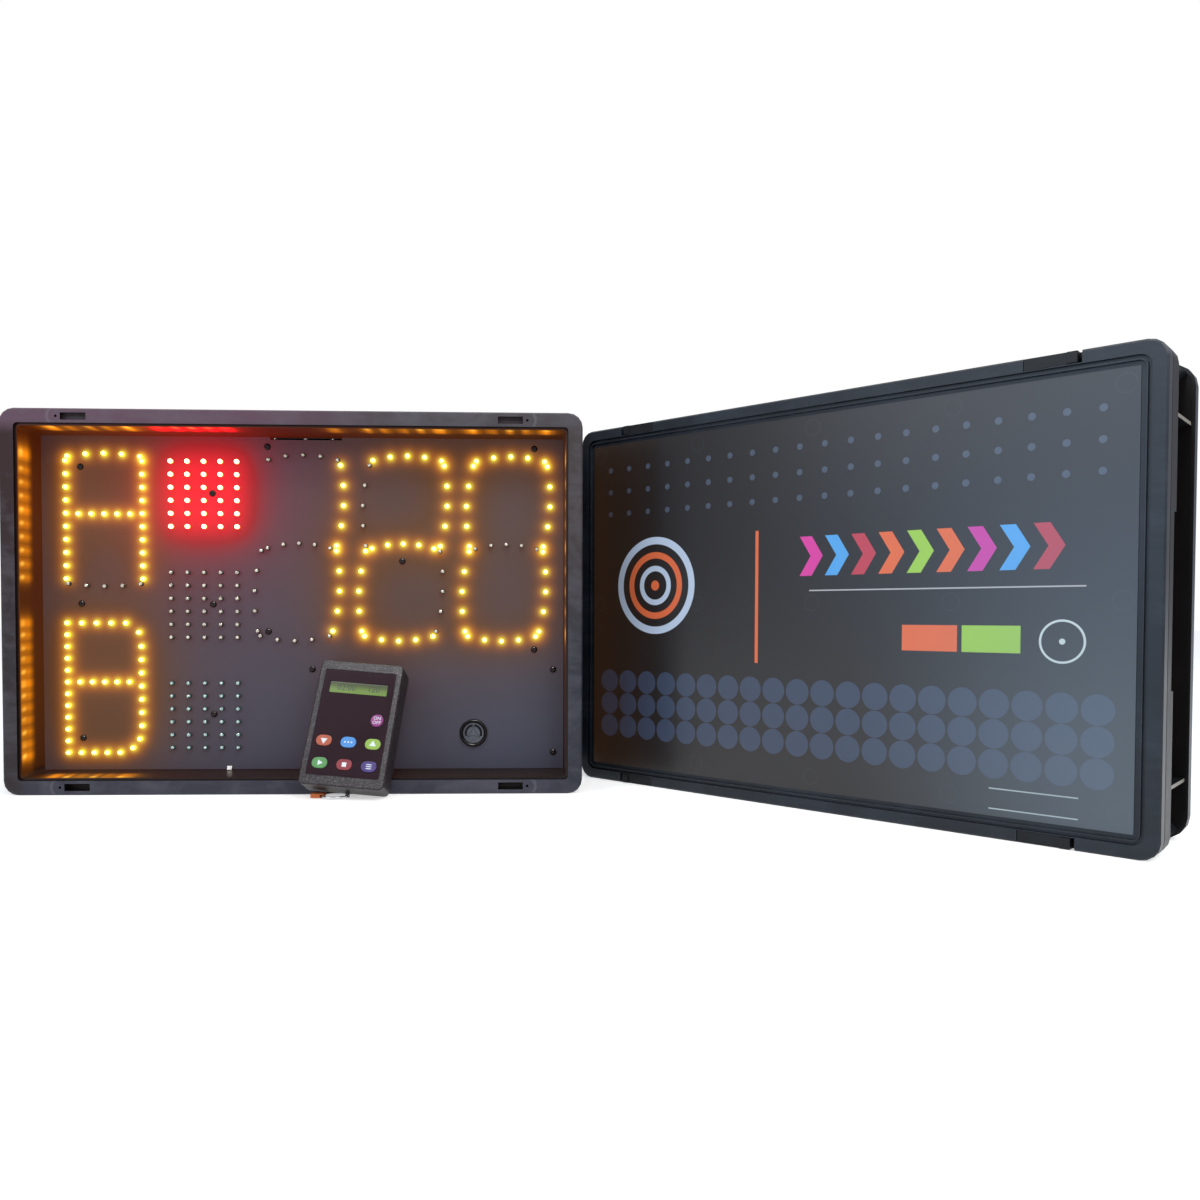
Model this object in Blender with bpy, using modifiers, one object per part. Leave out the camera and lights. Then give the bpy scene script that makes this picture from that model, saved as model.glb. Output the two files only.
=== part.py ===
"""Archery countdown timer: two LED display units in stacking crates, and a handheld remote.

Metres, +Z up. The origin is on the table, under the rim of the open display, which faces -Y. The closed display
stands beside it, turned on the spot, and the remote leans on the open display's panel.
"""
import math

import bmesh
import bpy
from mathutils import Matrix, Vector

# Gap that two touching pieces keep
TOUCH = 0.0003

# Stacking crate on its long side: width along X, height along Z, depth along +Y from the rim's face
CRATE_WIDTH = 0.600
CRATE_HEIGHT = 0.400
CRATE_DEPTH = 0.120
CRATE_CORNER = 0.015
RIM_DEPTH = 0.021
RIM_FLAT = 0.015
RIM_THICKNESS = 0.004
RIM_INNER_CORNER = 0.004
RIM_EDGE_ROUND = 0.0015
SKIRT_WALL = 0.0025
LEDGE_DEPTH = 0.003
LEDGE_WIDTH = 0.0025
TRAY_WALL = 0.0035
TRAY_CORNER = 0.004
TRAY_DRAFT = math.radians(2.65)
FLANGE_FROM_RIM = 0.088
FLANGE_THICKNESS = 0.003
FLANGE_LIP = 0.009
FLANGE_LIP_WALL = 0.0025
FLANGE_BEAD = 0.0015
FLANGE_CORNER = 0.020
RIB_THICKNESS = 0.003
RIB_INSET = 0.0032
RIB_FRONT = 0.013
SIDE_RIB_FROM_EDGE = 0.0515
LONG_RIB_FROM_END = 0.0515
GRIP_LENGTH = 0.140
GRIP_NOTCH = 0.007

# Latch slots in the rim's long sides
SLOT_FROM_END = 0.0625
SLOT_LENGTH = 0.026
SLOT_INSET = 0.0045
SLOT_WIDTH = 0.0075
PIN_HOLE_FROM_END = 0.058
PIN_HOLE_RADIUS = 0.0015

# Display panel
PANEL_DEPTH = 0.044
PANEL_THICKNESS = 0.003
PANEL_CLEARANCE = 0.0004
PANEL_NOTCH_LEFT = -0.037
PANEL_NOTCH_RIGHT = 0.040
PANEL_NOTCH_HEIGHT = 0.0030
LED_RADIUS = 0.0024
LED_TIP_RADIUS = 0.0016
LED_HEIGHT = 0.0048
LED_HOLE_CLEARANCE = 0.0004
LED_FACETS = 4

# Digits: seven bowed segments of five lamps each, hung from the crate's upper edge
DIGIT_LAMPS = 5
DIGIT_PITCH = 0.1117
UNITS_FROM_RIGHT = 0.0825
DIGIT_MIDDLE_DROP = 0.1398
DIGIT_HALF_HEIGHT = 0.0951
DIGIT_ROW_HALF = 0.0370
DIGIT_BAR_HALF = 0.0335
DIGIT_COLUMN_X = 0.0402
DIGIT_COLUMN_NEAR = 0.0028
DIGIT_COLUMN_FAR = 0.0897
DIGIT_BOW = 0.0052
DIGIT_SLANT = 0.051

# Letters: an A over a B, each of thirty-five lamps, with equal gaps between them and to the crate's edges
LETTER_FROM_LEFT = 0.0870
LETTER_HALF_WIDTH = 0.0404
A_PITCH = 0.01403
A_COLUMN_LAMPS = 10
A_ARC_HALF = 0.0383
A_ARC_RISE = 0.0048
A_ARC_BOW = 0.0034
A_BAR_DROP = 0.0566
A_BAR_HALF = 0.0273
A_FOOT_DROP = 0.0053
A_FOOT_BOW = 0.0026
B_SHIFT = -0.0004
B_PITCH = 0.01272
B_COLUMN_LAMPS = 12
B_RIGHT_PITCH = 0.0143
B_RIGHT_LAMPS = 7
B_RIGHT_TOP = 0.0252
B_CORNER_IN = 0.0050
B_CORNER_DROP = 0.0100
B_TOP_ROW_PITCH = 0.0155
B_FOOT_ROW_PITCH = 0.0137
B_BAR_DROP = 0.0635
B_BAR_PITCH = 0.01305

# Lamp blocks: red under the upper edge, amber by the crate's middle, green over the lower edge
LAMP_FROM_LETTERS = 0.1057
LAMP_RED_DROP = 0.0820
LAMP_AMBER_DROP = 0.0015
LAMP_GREEN_Z = 0.0790
LAMP_COLUMNS = 5
LAMP_ROWS = 6
LAMP_COLUMN_PITCH = 0.0176
LAMP_ROW_PITCH = 0.0140

# Panel screws, by the circuit board that each one carries
LETTER_SCREW_ASIDE = 0.0258
LETTER_SCREW_UPPER_DROP = 0.0060
LETTER_SCREW_MIDDLE_RISE = 0.0011
LETTER_SCREW_LOWER_RISE = 0.0156
LETTER_SPLIT_OVER_SCREW = 0.0092
LAMP_SCREW_ASIDE = 0.0085
LAMP_SCREW_RISES = (0.0009, 0.0008, 0.0012)
DIGIT_SCREW_LEFT_ASIDE = 0.0339
DIGIT_SCREW_RIGHT_ASIDE = 0.0305
DIGIT_SCREW_FROM_TOP = 0.0047
DIGIT_SCREW_LEFT_FROM_FOOT = 0.0238
DIGIT_SCREW_RIGHT_FROM_FOOT = 0.0046
DIGIT_SCREW_MIDDLE_ASIDE = 0.0011
DIGIT_SCREW_MIDDLE_FALL = 0.0134
CONTROL_SCREW_FROM_RIGHT = 0.0312
CONTROL_SCREW_SPAN = 0.2616
CONTROL_SCREW_FROM_DIGITS = 0.0172
CONTROL_SCREW_LOWER_Z = 0.0381
SCREW_HEAD_RADIUS = 0.0036
SCREW_HEAD_HEIGHT = 0.0024
SCREW_SHANK_RADIUS = 0.0015
SCREW_HOLE_RADIUS = 0.0019
SCREW_TAIL = 0.0020
BOARD_THICKNESS = 0.0016
BOARD_MARGIN = 0.0095
DIGIT_BOARD_MARGIN = 0.0137
SOCKET_SCREWS_X = (-0.0331, -0.0003, 0.0291)
SOCKET_SCREW_RADIUS = 0.0028
SOCKET_SCREW_HEIGHT = 0.0013
SOCKET_STRIP_LENGTH = 0.073
SOCKET_STRIP_WIDTH = 0.011

# Sounder in the panel's lower right
SOUNDER_FROM_RIGHT = 0.1182
SOUNDER_Z = 0.0592
SOUNDER_RADIUS = 0.0150
SOUNDER_BORE = 0.0116
SOUNDER_HEIGHT = 0.0034
SOUNDER_CAP_DROP = 0.0014
SOUNDER_CAP_THICKNESS = 0.0012
SOUNDER_SLOT_INNER = 0.0073
SOUNDER_SLOT_OUTER = 0.0098
SOUNDER_SLOT_HALF_ANGLE = math.radians(53)
SOUNDER_BODY_LENGTH = 0.022

# Battery pack, strapped to the crate's floor
BATTERY_X = 0.010
BATTERY_WIDTH = 0.140
BATTERY_HEIGHT = 0.070
BATTERY_DEPTH = 0.038
BATTERY_FROM_EDGE = 0.034
STRAP_THICKNESS = 0.0015
STRAP_WIDTH = 0.020
STRAP_FOOT = 0.009
CLIP_X = -0.0821
CLIP_WIDTH = 0.0050
CLIP_HEIGHT = 0.0042

# Lid of the closed display: it lies on the rim, in front of the crate
LID_THICKNESS = 0.012
LID_FRAME = 0.011
LID_GROOVE = 0.003
LID_GROOVE_DEPTH = 0.003
LID_RIDGE = 0.0012
LID_STEP = 0.0038
LID_STEP_DEPTH = 0.0026
LID_PANEL_DEPTH = 0.0018
LID_SKIN = 0.0035
LID_PLUG_WALL = 0.0025
LID_PLUG_CLEARANCE = 0.0007
LID_PLUG_LENGTH = 0.006
LID_POCKET_WALL = 0.003

# Sliding latches in the lid's long sides
LATCH_RECESS_FROM_END = 0.061
LATCH_RECESS_LENGTH = 0.045
LATCH_RECESS_HEIGHT = 0.0102
LATCH_FLOOR = 0.003
LATCH_TRAVEL = 0.003
LATCH_SINK = 0.0006
LATCH_THUMB_LENGTH = 0.0078
LATCH_THUMB_RISE = 0.0012
LATCH_STEM_HEIGHT = 0.0040
LATCH_HOOK_THICKNESS = 0.003
LATCH_HOOK_REACH = 0.003

# Handheld remote: width along X, length along Z, thickness along -Y from its back
REMOTE_WIDTH = 0.0875
REMOTE_LENGTH = 0.1345
REMOTE_THICKNESS = 0.030
REMOTE_CORNER = 0.005
REMOTE_EDGE_ROUND = 0.0012
REMOTE_WALL = 0.0025
REMOTE_OVERLAY_WIDTH = 0.0745
REMOTE_OVERLAY_FROM_END = 0.0105
REMOTE_OVERLAY_THICKNESS = 0.0005
REMOTE_OVERLAY_CLEARANCE = 0.0003
REMOTE_OVERLAY_SINK = 0.0009
LCD_FROM_TOP = 0.0295
LCD_WIDTH = 0.061
LCD_HEIGHT = 0.0122
LCD_WINDOW_THICKNESS = 0.0015
LCD_MODULE_MARGIN = 0.005
LCD_MODULE_THICKNESS = 0.006
KEY_COLUMN_PITCH = 0.0253
KEY_LOW_ROW_Z = 0.0230
KEY_ROW_PITCH = 0.0237
KEY_WIDTH = 0.0160
KEY_HEIGHT = 0.0112
POWER_KEY_SHIFT = 0.0011
POWER_KEY_RADIUS = 0.0066
KEY_CLEARANCE = 0.0004
KEY_RISE = 0.0004
KEY_LENGTH = 0.0055
KEY_TRAVEL = 0.0005
REMOTE_BOARD_THICKNESS = 0.0016
REMOTE_BATTERY = (0.048, 0.0080, 0.062)
CASE_SCREW_INSET = 0.0075
CASE_SCREW_WELL_RADIUS = 0.0030
CASE_SCREW_WELL_DEPTH = 0.0018
DOOR_LOW = 0.0340
DOOR_WIDTH = 0.0520
DOOR_LENGTH = 0.0640
DOOR_THICKNESS = 0.0013
DOOR_TRAVEL = 0.0035
DOOR_GRIP_DEPTH = 0.0005

# Key ring that the remote's lower end stands over
RING_RADIUS = 0.0130
RING_WIRE = 0.0010
RING_ASIDE = 0.0111
RING_IN_FRONT = 0.0051
RING_LEVEL = 0.0022
LUG_WALL = 0.0006
LUG_WIDTH = 0.0022
LUG_CLEARANCE = 0.0004
TAG_LENGTH = 0.0140
TAG_WIDTH = 0.0100
TAG_HEIGHT = 0.0045

# Where the three units stand
OPEN_FRONT_Y = -RIM_DEPTH / 2
CLOSED_TURN = math.radians(-43.66)
CLOSED_CORNER_ASIDE = 0.0006
CLOSED_CORNER_FROM_RIM = 0.1128
REMOTE_X = 0.0561
REMOTE_FROM_PANEL = 0.0007
REMOTE_YAW = math.radians(-1.66)
REMOTE_LEAN = math.radians(23.3)
REMOTE_SPIN = math.radians(4.99)

# Colours: base colour, roughness, metallic
FINISHES = {
    "black_crate": ((0.030, 0.031, 0.035), 0.46, 0.0),
    "panel_black": ((0.045, 0.046, 0.055), 0.50, 0.0),
    "lid_print": ((0.050, 0.055, 0.068), 0.42, 0.0),
    "clear_led": ((0.82, 0.80, 0.74), 0.15, 0.0),
    "amber_led": ((1.0, 0.62, 0.06), 0.15, 0.0),
    "red_led": ((1.0, 0.10, 0.12), 0.15, 0.0),
    "green_led": ((0.70, 0.90, 0.86), 0.15, 0.0),
    "black_screw": ((0.020, 0.020, 0.022), 0.25, 0.6),
    "nickel": ((0.62, 0.60, 0.57), 0.22, 1.0),
    "steel": ((0.55, 0.56, 0.58), 0.28, 1.0),
    "sounder_black": ((0.022, 0.022, 0.024), 0.35, 0.0),
    "sounder_grey": ((0.10, 0.105, 0.12), 0.40, 0.2),
    "board_green": ((0.03, 0.16, 0.07), 0.45, 0.0),
    "battery_blue": ((0.05, 0.10, 0.22), 0.40, 0.0),
    "remote_black": ((0.050, 0.050, 0.056), 0.60, 0.0),
    "overlay_black": ((0.045, 0.032, 0.045), 0.30, 0.0),
    "lcd_green": ((0.28, 0.46, 0.10), 0.20, 0.0),
    "key_magenta": ((0.42, 0.03, 0.36), 0.35, 0.0),
    "key_orange": ((0.60, 0.13, 0.03), 0.35, 0.0),
    "key_blue": ((0.08, 0.36, 0.85), 0.35, 0.0),
    "key_lime": ((0.42, 0.62, 0.08), 0.35, 0.0),
    "key_green": ((0.10, 0.46, 0.16), 0.35, 0.0),
    "key_red": ((0.48, 0.03, 0.06), 0.35, 0.0),
    "key_indigo": ((0.09, 0.04, 0.42), 0.35, 0.0),
    "orange_tag": ((0.80, 0.22, 0.04), 0.55, 0.0),
}

# Facet counts
CORNER_FACETS = 4
KEY_FACETS = 3
SOUNDER_FACETS = 16
POWER_KEY_FACETS = 14
RING_FACETS = 20
SMALL_FACETS = 6


def clear_scene():
    for obj in list(bpy.data.objects):
        bpy.data.objects.remove(obj, do_unlink=True)


def make_collection(name):
    collection = bpy.data.collections.new(name)
    bpy.context.scene.collection.children.link(collection)
    return collection


def make_materials():
    materials = {}
    for name, (colour, roughness, metallic) in FINISHES.items():
        material = bpy.data.materials.new(name)
        material.use_nodes = True
        shader = material.node_tree.nodes["Principled BSDF"]
        shader.inputs["Base Color"].default_value = (*colour, 1.0)
        shader.inputs["Roughness"].default_value = roughness
        shader.inputs["Metallic"].default_value = metallic
        materials[name] = material
    return materials


def make_stand(name, location, turn):
    """An empty that carries one unit; its axes are the unit's own."""
    stand = bpy.data.objects.new(name, None)
    stand.rotation_mode = "YXZ"
    stand.location = location
    stand.rotation_euler = turn
    PARTS.objects.link(stand)
    return stand


def add_part(name, mesh, finish, stand, smooth=False):
    mesh.name = name
    if smooth:
        mesh.shade_smooth()
        mesh.set_sharp_from_angle(angle=math.radians(40))
    part = bpy.data.objects.new(name, mesh)
    part.data.materials.append(MATERIALS[finish])
    part.parent = stand
    PARTS.objects.link(part)
    return part


def add_tool(name, mesh, stand):
    tool = bpy.data.objects.new(name, mesh)
    tool.parent = stand
    tool.hide_render = True
    tool.display_type = "WIRE"
    TOOLS.objects.link(tool)
    return tool


def combine(part, tool, operation):
    modifier = part.modifiers.new(tool.name, "BOOLEAN")
    modifier.solver = "EXACT"
    modifier.operation = operation
    modifier.object = tool


def mesh_from(bm, name):
    bmesh.ops.recalc_face_normals(bm, faces=bm.faces)
    mesh = bpy.data.meshes.new(name)
    bm.to_mesh(mesh)
    bm.free()
    return mesh


def joined(name, meshes):
    """One mesh of several bodies that stay apart."""
    bm = bmesh.new()
    for mesh in meshes:
        bm.from_mesh(mesh)
    return mesh_from(bm, name)


def box(low, high):
    bm = bmesh.new()
    bmesh.ops.create_cube(bm, size=1.0)
    size = Vector(high) - Vector(low)
    middle = (Vector(high) + Vector(low)) / 2
    bmesh.ops.transform(bm, matrix=Matrix.Translation(middle) @ Matrix.Diagonal((*size, 1.0)), verts=bm.verts)
    return mesh_from(bm, "box")


def rounded_block(low, high, corner, front_round=0.0, facets=None):
    """A box with round corners seen from the front, and a rounded front edge."""
    bm = bmesh.new()
    bm.from_mesh(box(low, high))
    along_y = [e for e in bm.edges if abs(e.verts[0].co.y - e.verts[1].co.y) > (high[1] - low[1]) / 2]
    bmesh.ops.bevel(bm, geom=along_y, offset=corner, segments=facets or CORNER_FACETS, profile=0.5, affect="EDGES")
    front = [e for e in bm.edges if all(abs(v.co.y - low[1]) < TOUCH / 10 for v in e.verts)]
    if front_round:
        bmesh.ops.bevel(bm, geom=front, offset=front_round, segments=1, profile=0.5, affect="EDGES")
    return mesh_from(bm, "block")


def rounded_loop(width, height, corner, middle=(0.0, 0.0), facets=CORNER_FACETS):
    """Corner arcs of a rounded rectangle, counter-clockwise."""
    points = []
    for quarter, (side_x, side_z) in enumerate(((1, 1), (-1, 1), (-1, -1), (1, -1))):
        centre_x = middle[0] + side_x * (width / 2 - corner)
        centre_z = middle[1] + side_z * (height / 2 - corner)
        for step in range(facets + 1):
            angle = math.pi / 2 * (quarter + step / facets)
            points.append((centre_x + corner * math.cos(angle), centre_z + corner * math.sin(angle)))
    return points


def circle_loop(radius, middle, facets):
    return [
        (
            middle[0] + radius * math.cos(2 * math.pi * step / facets),
            middle[1] + radius * math.sin(2 * math.pi * step / facets),
        )
        for step in range(facets)
    ]


def arc_slot_loop(inner, outer, centre_angle, half_angle, middle, facets=4):
    """Outline of a slot that follows a circle."""
    angles = [centre_angle + half_angle * (2 * step / facets - 1) for step in range(facets + 1)]
    points = [(middle[0] + outer * math.cos(a), middle[1] + outer * math.sin(a)) for a in angles]
    points += [(middle[0] + inner * math.cos(a), middle[1] + inner * math.sin(a)) for a in reversed(angles)]
    return points


def outline_mesh(loops, thickness, frame):
    """A flat outline with holes, thickened about its plane and placed by the matrix frame."""
    curve = bpy.data.curves.new("outline", "CURVE")
    curve.dimensions = "2D"
    curve.fill_mode = "BOTH"
    curve.extrude = thickness / 2
    for loop in loops:
        spline = curve.splines.new("POLY")
        spline.points.add(len(loop) - 1)
        for point, (u, v) in zip(spline.points, loop):
            point.co = (u, v, 0.0, 1.0)
        spline.use_cyclic_u = True
    guide = bpy.data.objects.new("outline", curve)
    bpy.context.scene.collection.objects.link(guide)
    shape = guide.evaluated_get(bpy.context.evaluated_depsgraph_get())
    mesh = bpy.data.meshes.new_from_object(shape)
    bpy.data.objects.remove(guide, do_unlink=True)
    bpy.data.curves.remove(curve)
    bm = bmesh.new()
    bm.from_mesh(mesh)
    bmesh.ops.remove_doubles(bm, verts=bm.verts, dist=0.000001)
    bmesh.ops.transform(bm, matrix=frame, verts=bm.verts)
    bpy.data.meshes.remove(mesh)
    return mesh_from(bm, "outline")


def upright_sheet(loops, front, back):
    """A sheet whose outline is seen from the front, between two depths."""
    frame = Matrix.Translation((0.0, (front + back) / 2, 0.0)) @ Matrix.Rotation(math.pi / 2, 4, "X")
    return outline_mesh(loops, back - front, frame)


def cone_body(bm, base_radius, tip_radius, front, back, middle, facets):
    """A round or many-sided peg along Y, its tip to the front."""
    turn = Matrix.Rotation(math.pi / 2, 4, "X")
    place = Matrix.Translation((middle[0], (front + back) / 2, middle[1])) @ turn
    bmesh.ops.create_cone(
        bm,
        cap_ends=True,
        cap_tris=False,
        segments=facets,
        radius1=base_radius,
        radius2=tip_radius,
        depth=back - front,
        matrix=place,
    )


def turned_part(name, profile, finish, stand, middle, facets):
    """A profile of (radius, distance in front of the panel) points, turned about the line through middle."""
    closed = profile[0][0] > 0 and profile[-1][0] > 0
    points = [(radius, 0.0, reach) for radius, reach in profile]
    edges = [(i, i + 1) for i in range(len(points) - 1)]
    if closed:
        edges.append((len(points) - 1, 0))
    mesh = bpy.data.meshes.new(name)
    mesh.from_pydata(points, edges, [])
    part = add_part(name, mesh, finish, stand)
    part.location = (middle[0], PANEL_DEPTH, middle[1])
    part.rotation_euler = (math.pi / 2, 0.0, 0.0)
    turn = part.modifiers.new("turn", "SCREW")
    turn.axis = "Z"
    turn.angle = 2 * math.pi
    turn.steps = facets
    turn.render_steps = facets
    turn.use_merge_vertices = True
    turn.merge_threshold = TOUCH / 10
    turn.use_smooth_shade = facets > SMALL_FACETS
    return part


def tray_inset(depth):
    """How far the tray's inner wall stands in from the crate's outline, at a depth behind the rim's face."""
    return RIM_FLAT + LEDGE_WIDTH + (depth - LEDGE_DEPTH) * math.tan(TRAY_DRAFT)


def inset_loop(inset, corner):
    """A rounded rectangle that stands in from the crate's outline by the same distance all round."""
    width = CRATE_WIDTH - 2 * inset
    height = CRATE_HEIGHT - 2 * inset
    return rounded_loop(width, height, corner, (0.0, CRATE_HEIGHT / 2))


def tray_mesh():
    """The tray's inner faces, open at the front; its wall grows outwards from them."""
    bm = bmesh.new()
    bmesh.ops.create_cube(bm, size=1.0)
    floor_depth = CRATE_DEPTH - TRAY_WALL
    for vert in bm.verts:
        depth = LEDGE_DEPTH if vert.co.y < 0 else floor_depth
        inset = tray_inset(depth)
        half_width = CRATE_WIDTH / 2 - inset
        half_height = CRATE_HEIGHT / 2 - inset
        vert.co = (
            math.copysign(half_width, vert.co.x),
            depth,
            CRATE_HEIGHT / 2 + math.copysign(half_height, vert.co.z),
        )
    walls = [e for e in bm.edges if abs(e.verts[0].co.y - e.verts[1].co.y) > LEDGE_DEPTH]
    bmesh.ops.bevel(bm, geom=walls, offset=TRAY_CORNER, segments=3, profile=0.5, affect="EDGES")
    bmesh.ops.recalc_face_normals(bm, faces=bm.faces)
    mouth = [f for f in bm.faces if all(abs(v.co.y - LEDGE_DEPTH) < TOUCH / 10 for v in f.verts)]
    bmesh.ops.delete(bm, geom=mouth, context="FACES")
    mesh = bpy.data.meshes.new("tray")
    bm.to_mesh(mesh)
    bm.free()
    return mesh


def rib_meshes():
    """Plates that join the rim to the rear flange: on the short sides, the long sides and the corners."""
    front = RIB_FRONT
    back = FLANGE_FROM_RIM + FLANGE_THICKNESS / 2
    meshes = []

    def wall_middle(depth):
        return tray_inset(depth) - TRAY_WALL / 2

    for side in (-1, 1):
        outer = side * (CRATE_WIDTH / 2 - RIB_INSET)
        outline = [
            (outer, front),
            (outer, back),
            (side * (CRATE_WIDTH / 2 - wall_middle(back)), back),
            (side * (CRATE_WIDTH / 2 - wall_middle(front)), front),
        ]
        for level in (SIDE_RIB_FROM_EDGE, CRATE_HEIGHT - SIDE_RIB_FROM_EDGE):
            meshes.append(outline_mesh([outline], RIB_THICKNESS, Matrix.Translation((0.0, 0.0, level))))
    upright = Matrix(((0, 0, 1, 0), (1, 0, 0, 0), (0, 1, 0, 0), (0, 0, 0, 1)))
    for side in (-1, 1):
        middle = CRATE_HEIGHT / 2
        outer = middle + side * (CRATE_HEIGHT / 2 - RIB_INSET)
        outline = [
            (front, outer),
            (back, outer),
            (back, middle + side * (CRATE_HEIGHT / 2 - wall_middle(back))),
            (front, middle + side * (CRATE_HEIGHT / 2 - wall_middle(front))),
        ]
        for end in (-1, 1):
            place = end * (CRATE_WIDTH / 2 - LONG_RIB_FROM_END)
            frame = Matrix.Translation((place, 0.0, 0.0)) @ upright
            meshes.append(outline_mesh([outline], RIB_THICKNESS, frame))

    def wall_corner(depth):
        """Distance of the wall's corner from the crate's outer corner arc, along the diagonal."""
        arc_inset = tray_inset(depth) + TRAY_CORNER
        return (CRATE_CORNER - arc_inset) * math.sqrt(2) + TRAY_CORNER + TRAY_WALL / 2

    outer = (CRATE_CORNER - FLANGE_CORNER) * math.sqrt(2) + FLANGE_CORNER - RIB_INSET
    outline = [(outer, front), (outer, back), (wall_corner(back), back), (wall_corner(front), front)]
    for side_x in (-1, 1):
        for side_z in (-1, 1):
            corner = Vector((
                side_x * (CRATE_WIDTH / 2 - CRATE_CORNER),
                0.0,
                CRATE_HEIGHT / 2 + side_z * (CRATE_HEIGHT / 2 - CRATE_CORNER),
            ))
            outwards = Vector((side_x, 0.0, side_z)).normalized()
            across = outwards.cross(Vector((0.0, 1.0, 0.0)))
            frame = Matrix.Translation(corner) @ Matrix((
                (outwards.x, 0.0, across.x, 0.0),
                (outwards.y, 1.0, across.y, 0.0),
                (outwards.z, 0.0, across.z, 0.0),
                (0.0, 0.0, 0.0, 1.0),
            ))
            meshes.append(outline_mesh([outline], RIB_THICKNESS, frame))
    return meshes


def long_side_level(side, inset):
    """Height of a line that stands in from the lower (-1) or upper (1) long side."""
    return CRATE_HEIGHT / 2 + side * (CRATE_HEIGHT / 2 - inset)


def slot_box(side_x, side_z, from_end, length, inset, width, front, back):
    """A box in a long side, placed from the crate's end and its long edge."""
    near = CRATE_WIDTH / 2 - from_end
    ends = sorted((side_x * near, side_x * (near - length)))
    levels = sorted((long_side_level(side_z, inset), long_side_level(side_z, inset + width)))
    return box((ends[0], front, levels[0]), (ends[1], back, levels[1]))


def build_crate(name, stand):
    rim = rounded_block(
        (-CRATE_WIDTH / 2, 0.0, 0.0),
        (CRATE_WIDTH / 2, RIM_DEPTH, CRATE_HEIGHT),
        CRATE_CORNER,
        RIM_EDGE_ROUND,
    )
    crate = add_part(name, rim, "black_crate", stand)
    opening = upright_sheet([inset_loop(RIM_FLAT, RIM_INNER_CORNER)], -RIM_DEPTH, 2 * RIM_DEPTH)
    combine(crate, add_tool(name + "_opening", opening, stand), "DIFFERENCE")
    stub = RIM_FLAT - (LEDGE_WIDTH + RIM_FLAT - tray_inset(LEDGE_DEPTH)) - LEDGE_WIDTH / 2
    channel = upright_sheet(
        [inset_loop(SKIRT_WALL, CRATE_CORNER - SKIRT_WALL), inset_loop(stub, RIM_INNER_CORNER)],
        RIM_THICKNESS,
        2 * RIM_DEPTH,
    )
    combine(crate, add_tool(name + "_channel", channel, stand), "DIFFERENCE")
    cuts = []
    for side_x in (-1, 1):
        for side_z in (-1, 1):
            cuts.append(slot_box(
                side_x, side_z, SLOT_FROM_END, SLOT_LENGTH, SLOT_INSET, SLOT_WIDTH,
                -RIM_THICKNESS, 2 * RIM_THICKNESS,
            ))
            hole = bmesh.new()
            middle = (
                side_x * (CRATE_WIDTH / 2 - PIN_HOLE_FROM_END),
                long_side_level(side_z, SLOT_INSET + SLOT_WIDTH / 2),
            )
            cone_body(
                hole, PIN_HOLE_RADIUS, PIN_HOLE_RADIUS, -RIM_THICKNESS, 2 * RIM_THICKNESS, middle, SMALL_FACETS)
            cuts.append(mesh_from(hole, "pin_hole"))
        inner = side_x * (CRATE_WIDTH / 2 - 2 * SKIRT_WALL)
        outer = side_x * (CRATE_WIDTH / 2 + SKIRT_WALL)
        cuts.append(box(
            (min(inner, outer), RIM_DEPTH - GRIP_NOTCH, (CRATE_HEIGHT - GRIP_LENGTH) / 2),
            (max(inner, outer), 2 * RIM_DEPTH, (CRATE_HEIGHT + GRIP_LENGTH) / 2),
        ))
    combine(crate, add_tool(name + "_slots", joined("slots", cuts), stand), "DIFFERENCE")
    tray = add_tool(name + "_tray", tray_mesh(), stand)
    wall = tray.modifiers.new("wall", "SOLIDIFY")
    wall.thickness = TRAY_WALL
    wall.offset = 1.0
    wall.use_even_offset = True
    combine(crate, tray, "UNION")
    flange = upright_sheet(
        [
            inset_loop(FLANGE_LIP_WALL / 2, FLANGE_CORNER - FLANGE_LIP_WALL / 2),
            inset_loop(tray_inset(FLANGE_FROM_RIM) - TRAY_WALL / 2, TRAY_CORNER + TRAY_WALL / 2),
        ],
        FLANGE_FROM_RIM,
        FLANGE_FROM_RIM + FLANGE_THICKNESS,
    )
    combine(crate, add_tool(name + "_flange", flange, stand), "UNION")
    lip = upright_sheet(
        [inset_loop(0.0, FLANGE_CORNER), inset_loop(FLANGE_LIP_WALL, FLANGE_CORNER - FLANGE_LIP_WALL)],
        FLANGE_FROM_RIM - FLANGE_BEAD,
        FLANGE_FROM_RIM + FLANGE_LIP,
    )
    combine(crate, add_tool(name + "_flange_lip", lip, stand), "UNION")
    combine(crate, add_tool(name + "_ribs", joined("ribs", rib_meshes()), stand), "UNION")
    return crate


def letter_x():
    return LETTER_FROM_LEFT - CRATE_WIDTH / 2


def lamp_x():
    return letter_x() + LAMP_FROM_LETTERS


def digit_middles_x():
    """Middles of the hundreds, tens and units digits."""
    units = CRATE_WIDTH / 2 - UNITS_FROM_RIGHT
    return [units - place * DIGIT_PITCH for place in (2, 1, 0)]


def sounder_middle():
    return (CRATE_WIDTH / 2 - SOUNDER_FROM_RIGHT, SOUNDER_Z)


def digit_middle_z():
    return CRATE_HEIGHT - DIGIT_MIDDLE_DROP


def digit_board_ends_z():
    """Foot and top of the digits' boards."""
    reach = DIGIT_HALF_HEIGHT + DIGIT_BOW + DIGIT_BOARD_MARGIN
    return digit_middle_z() - reach, digit_middle_z() + reach


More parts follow.
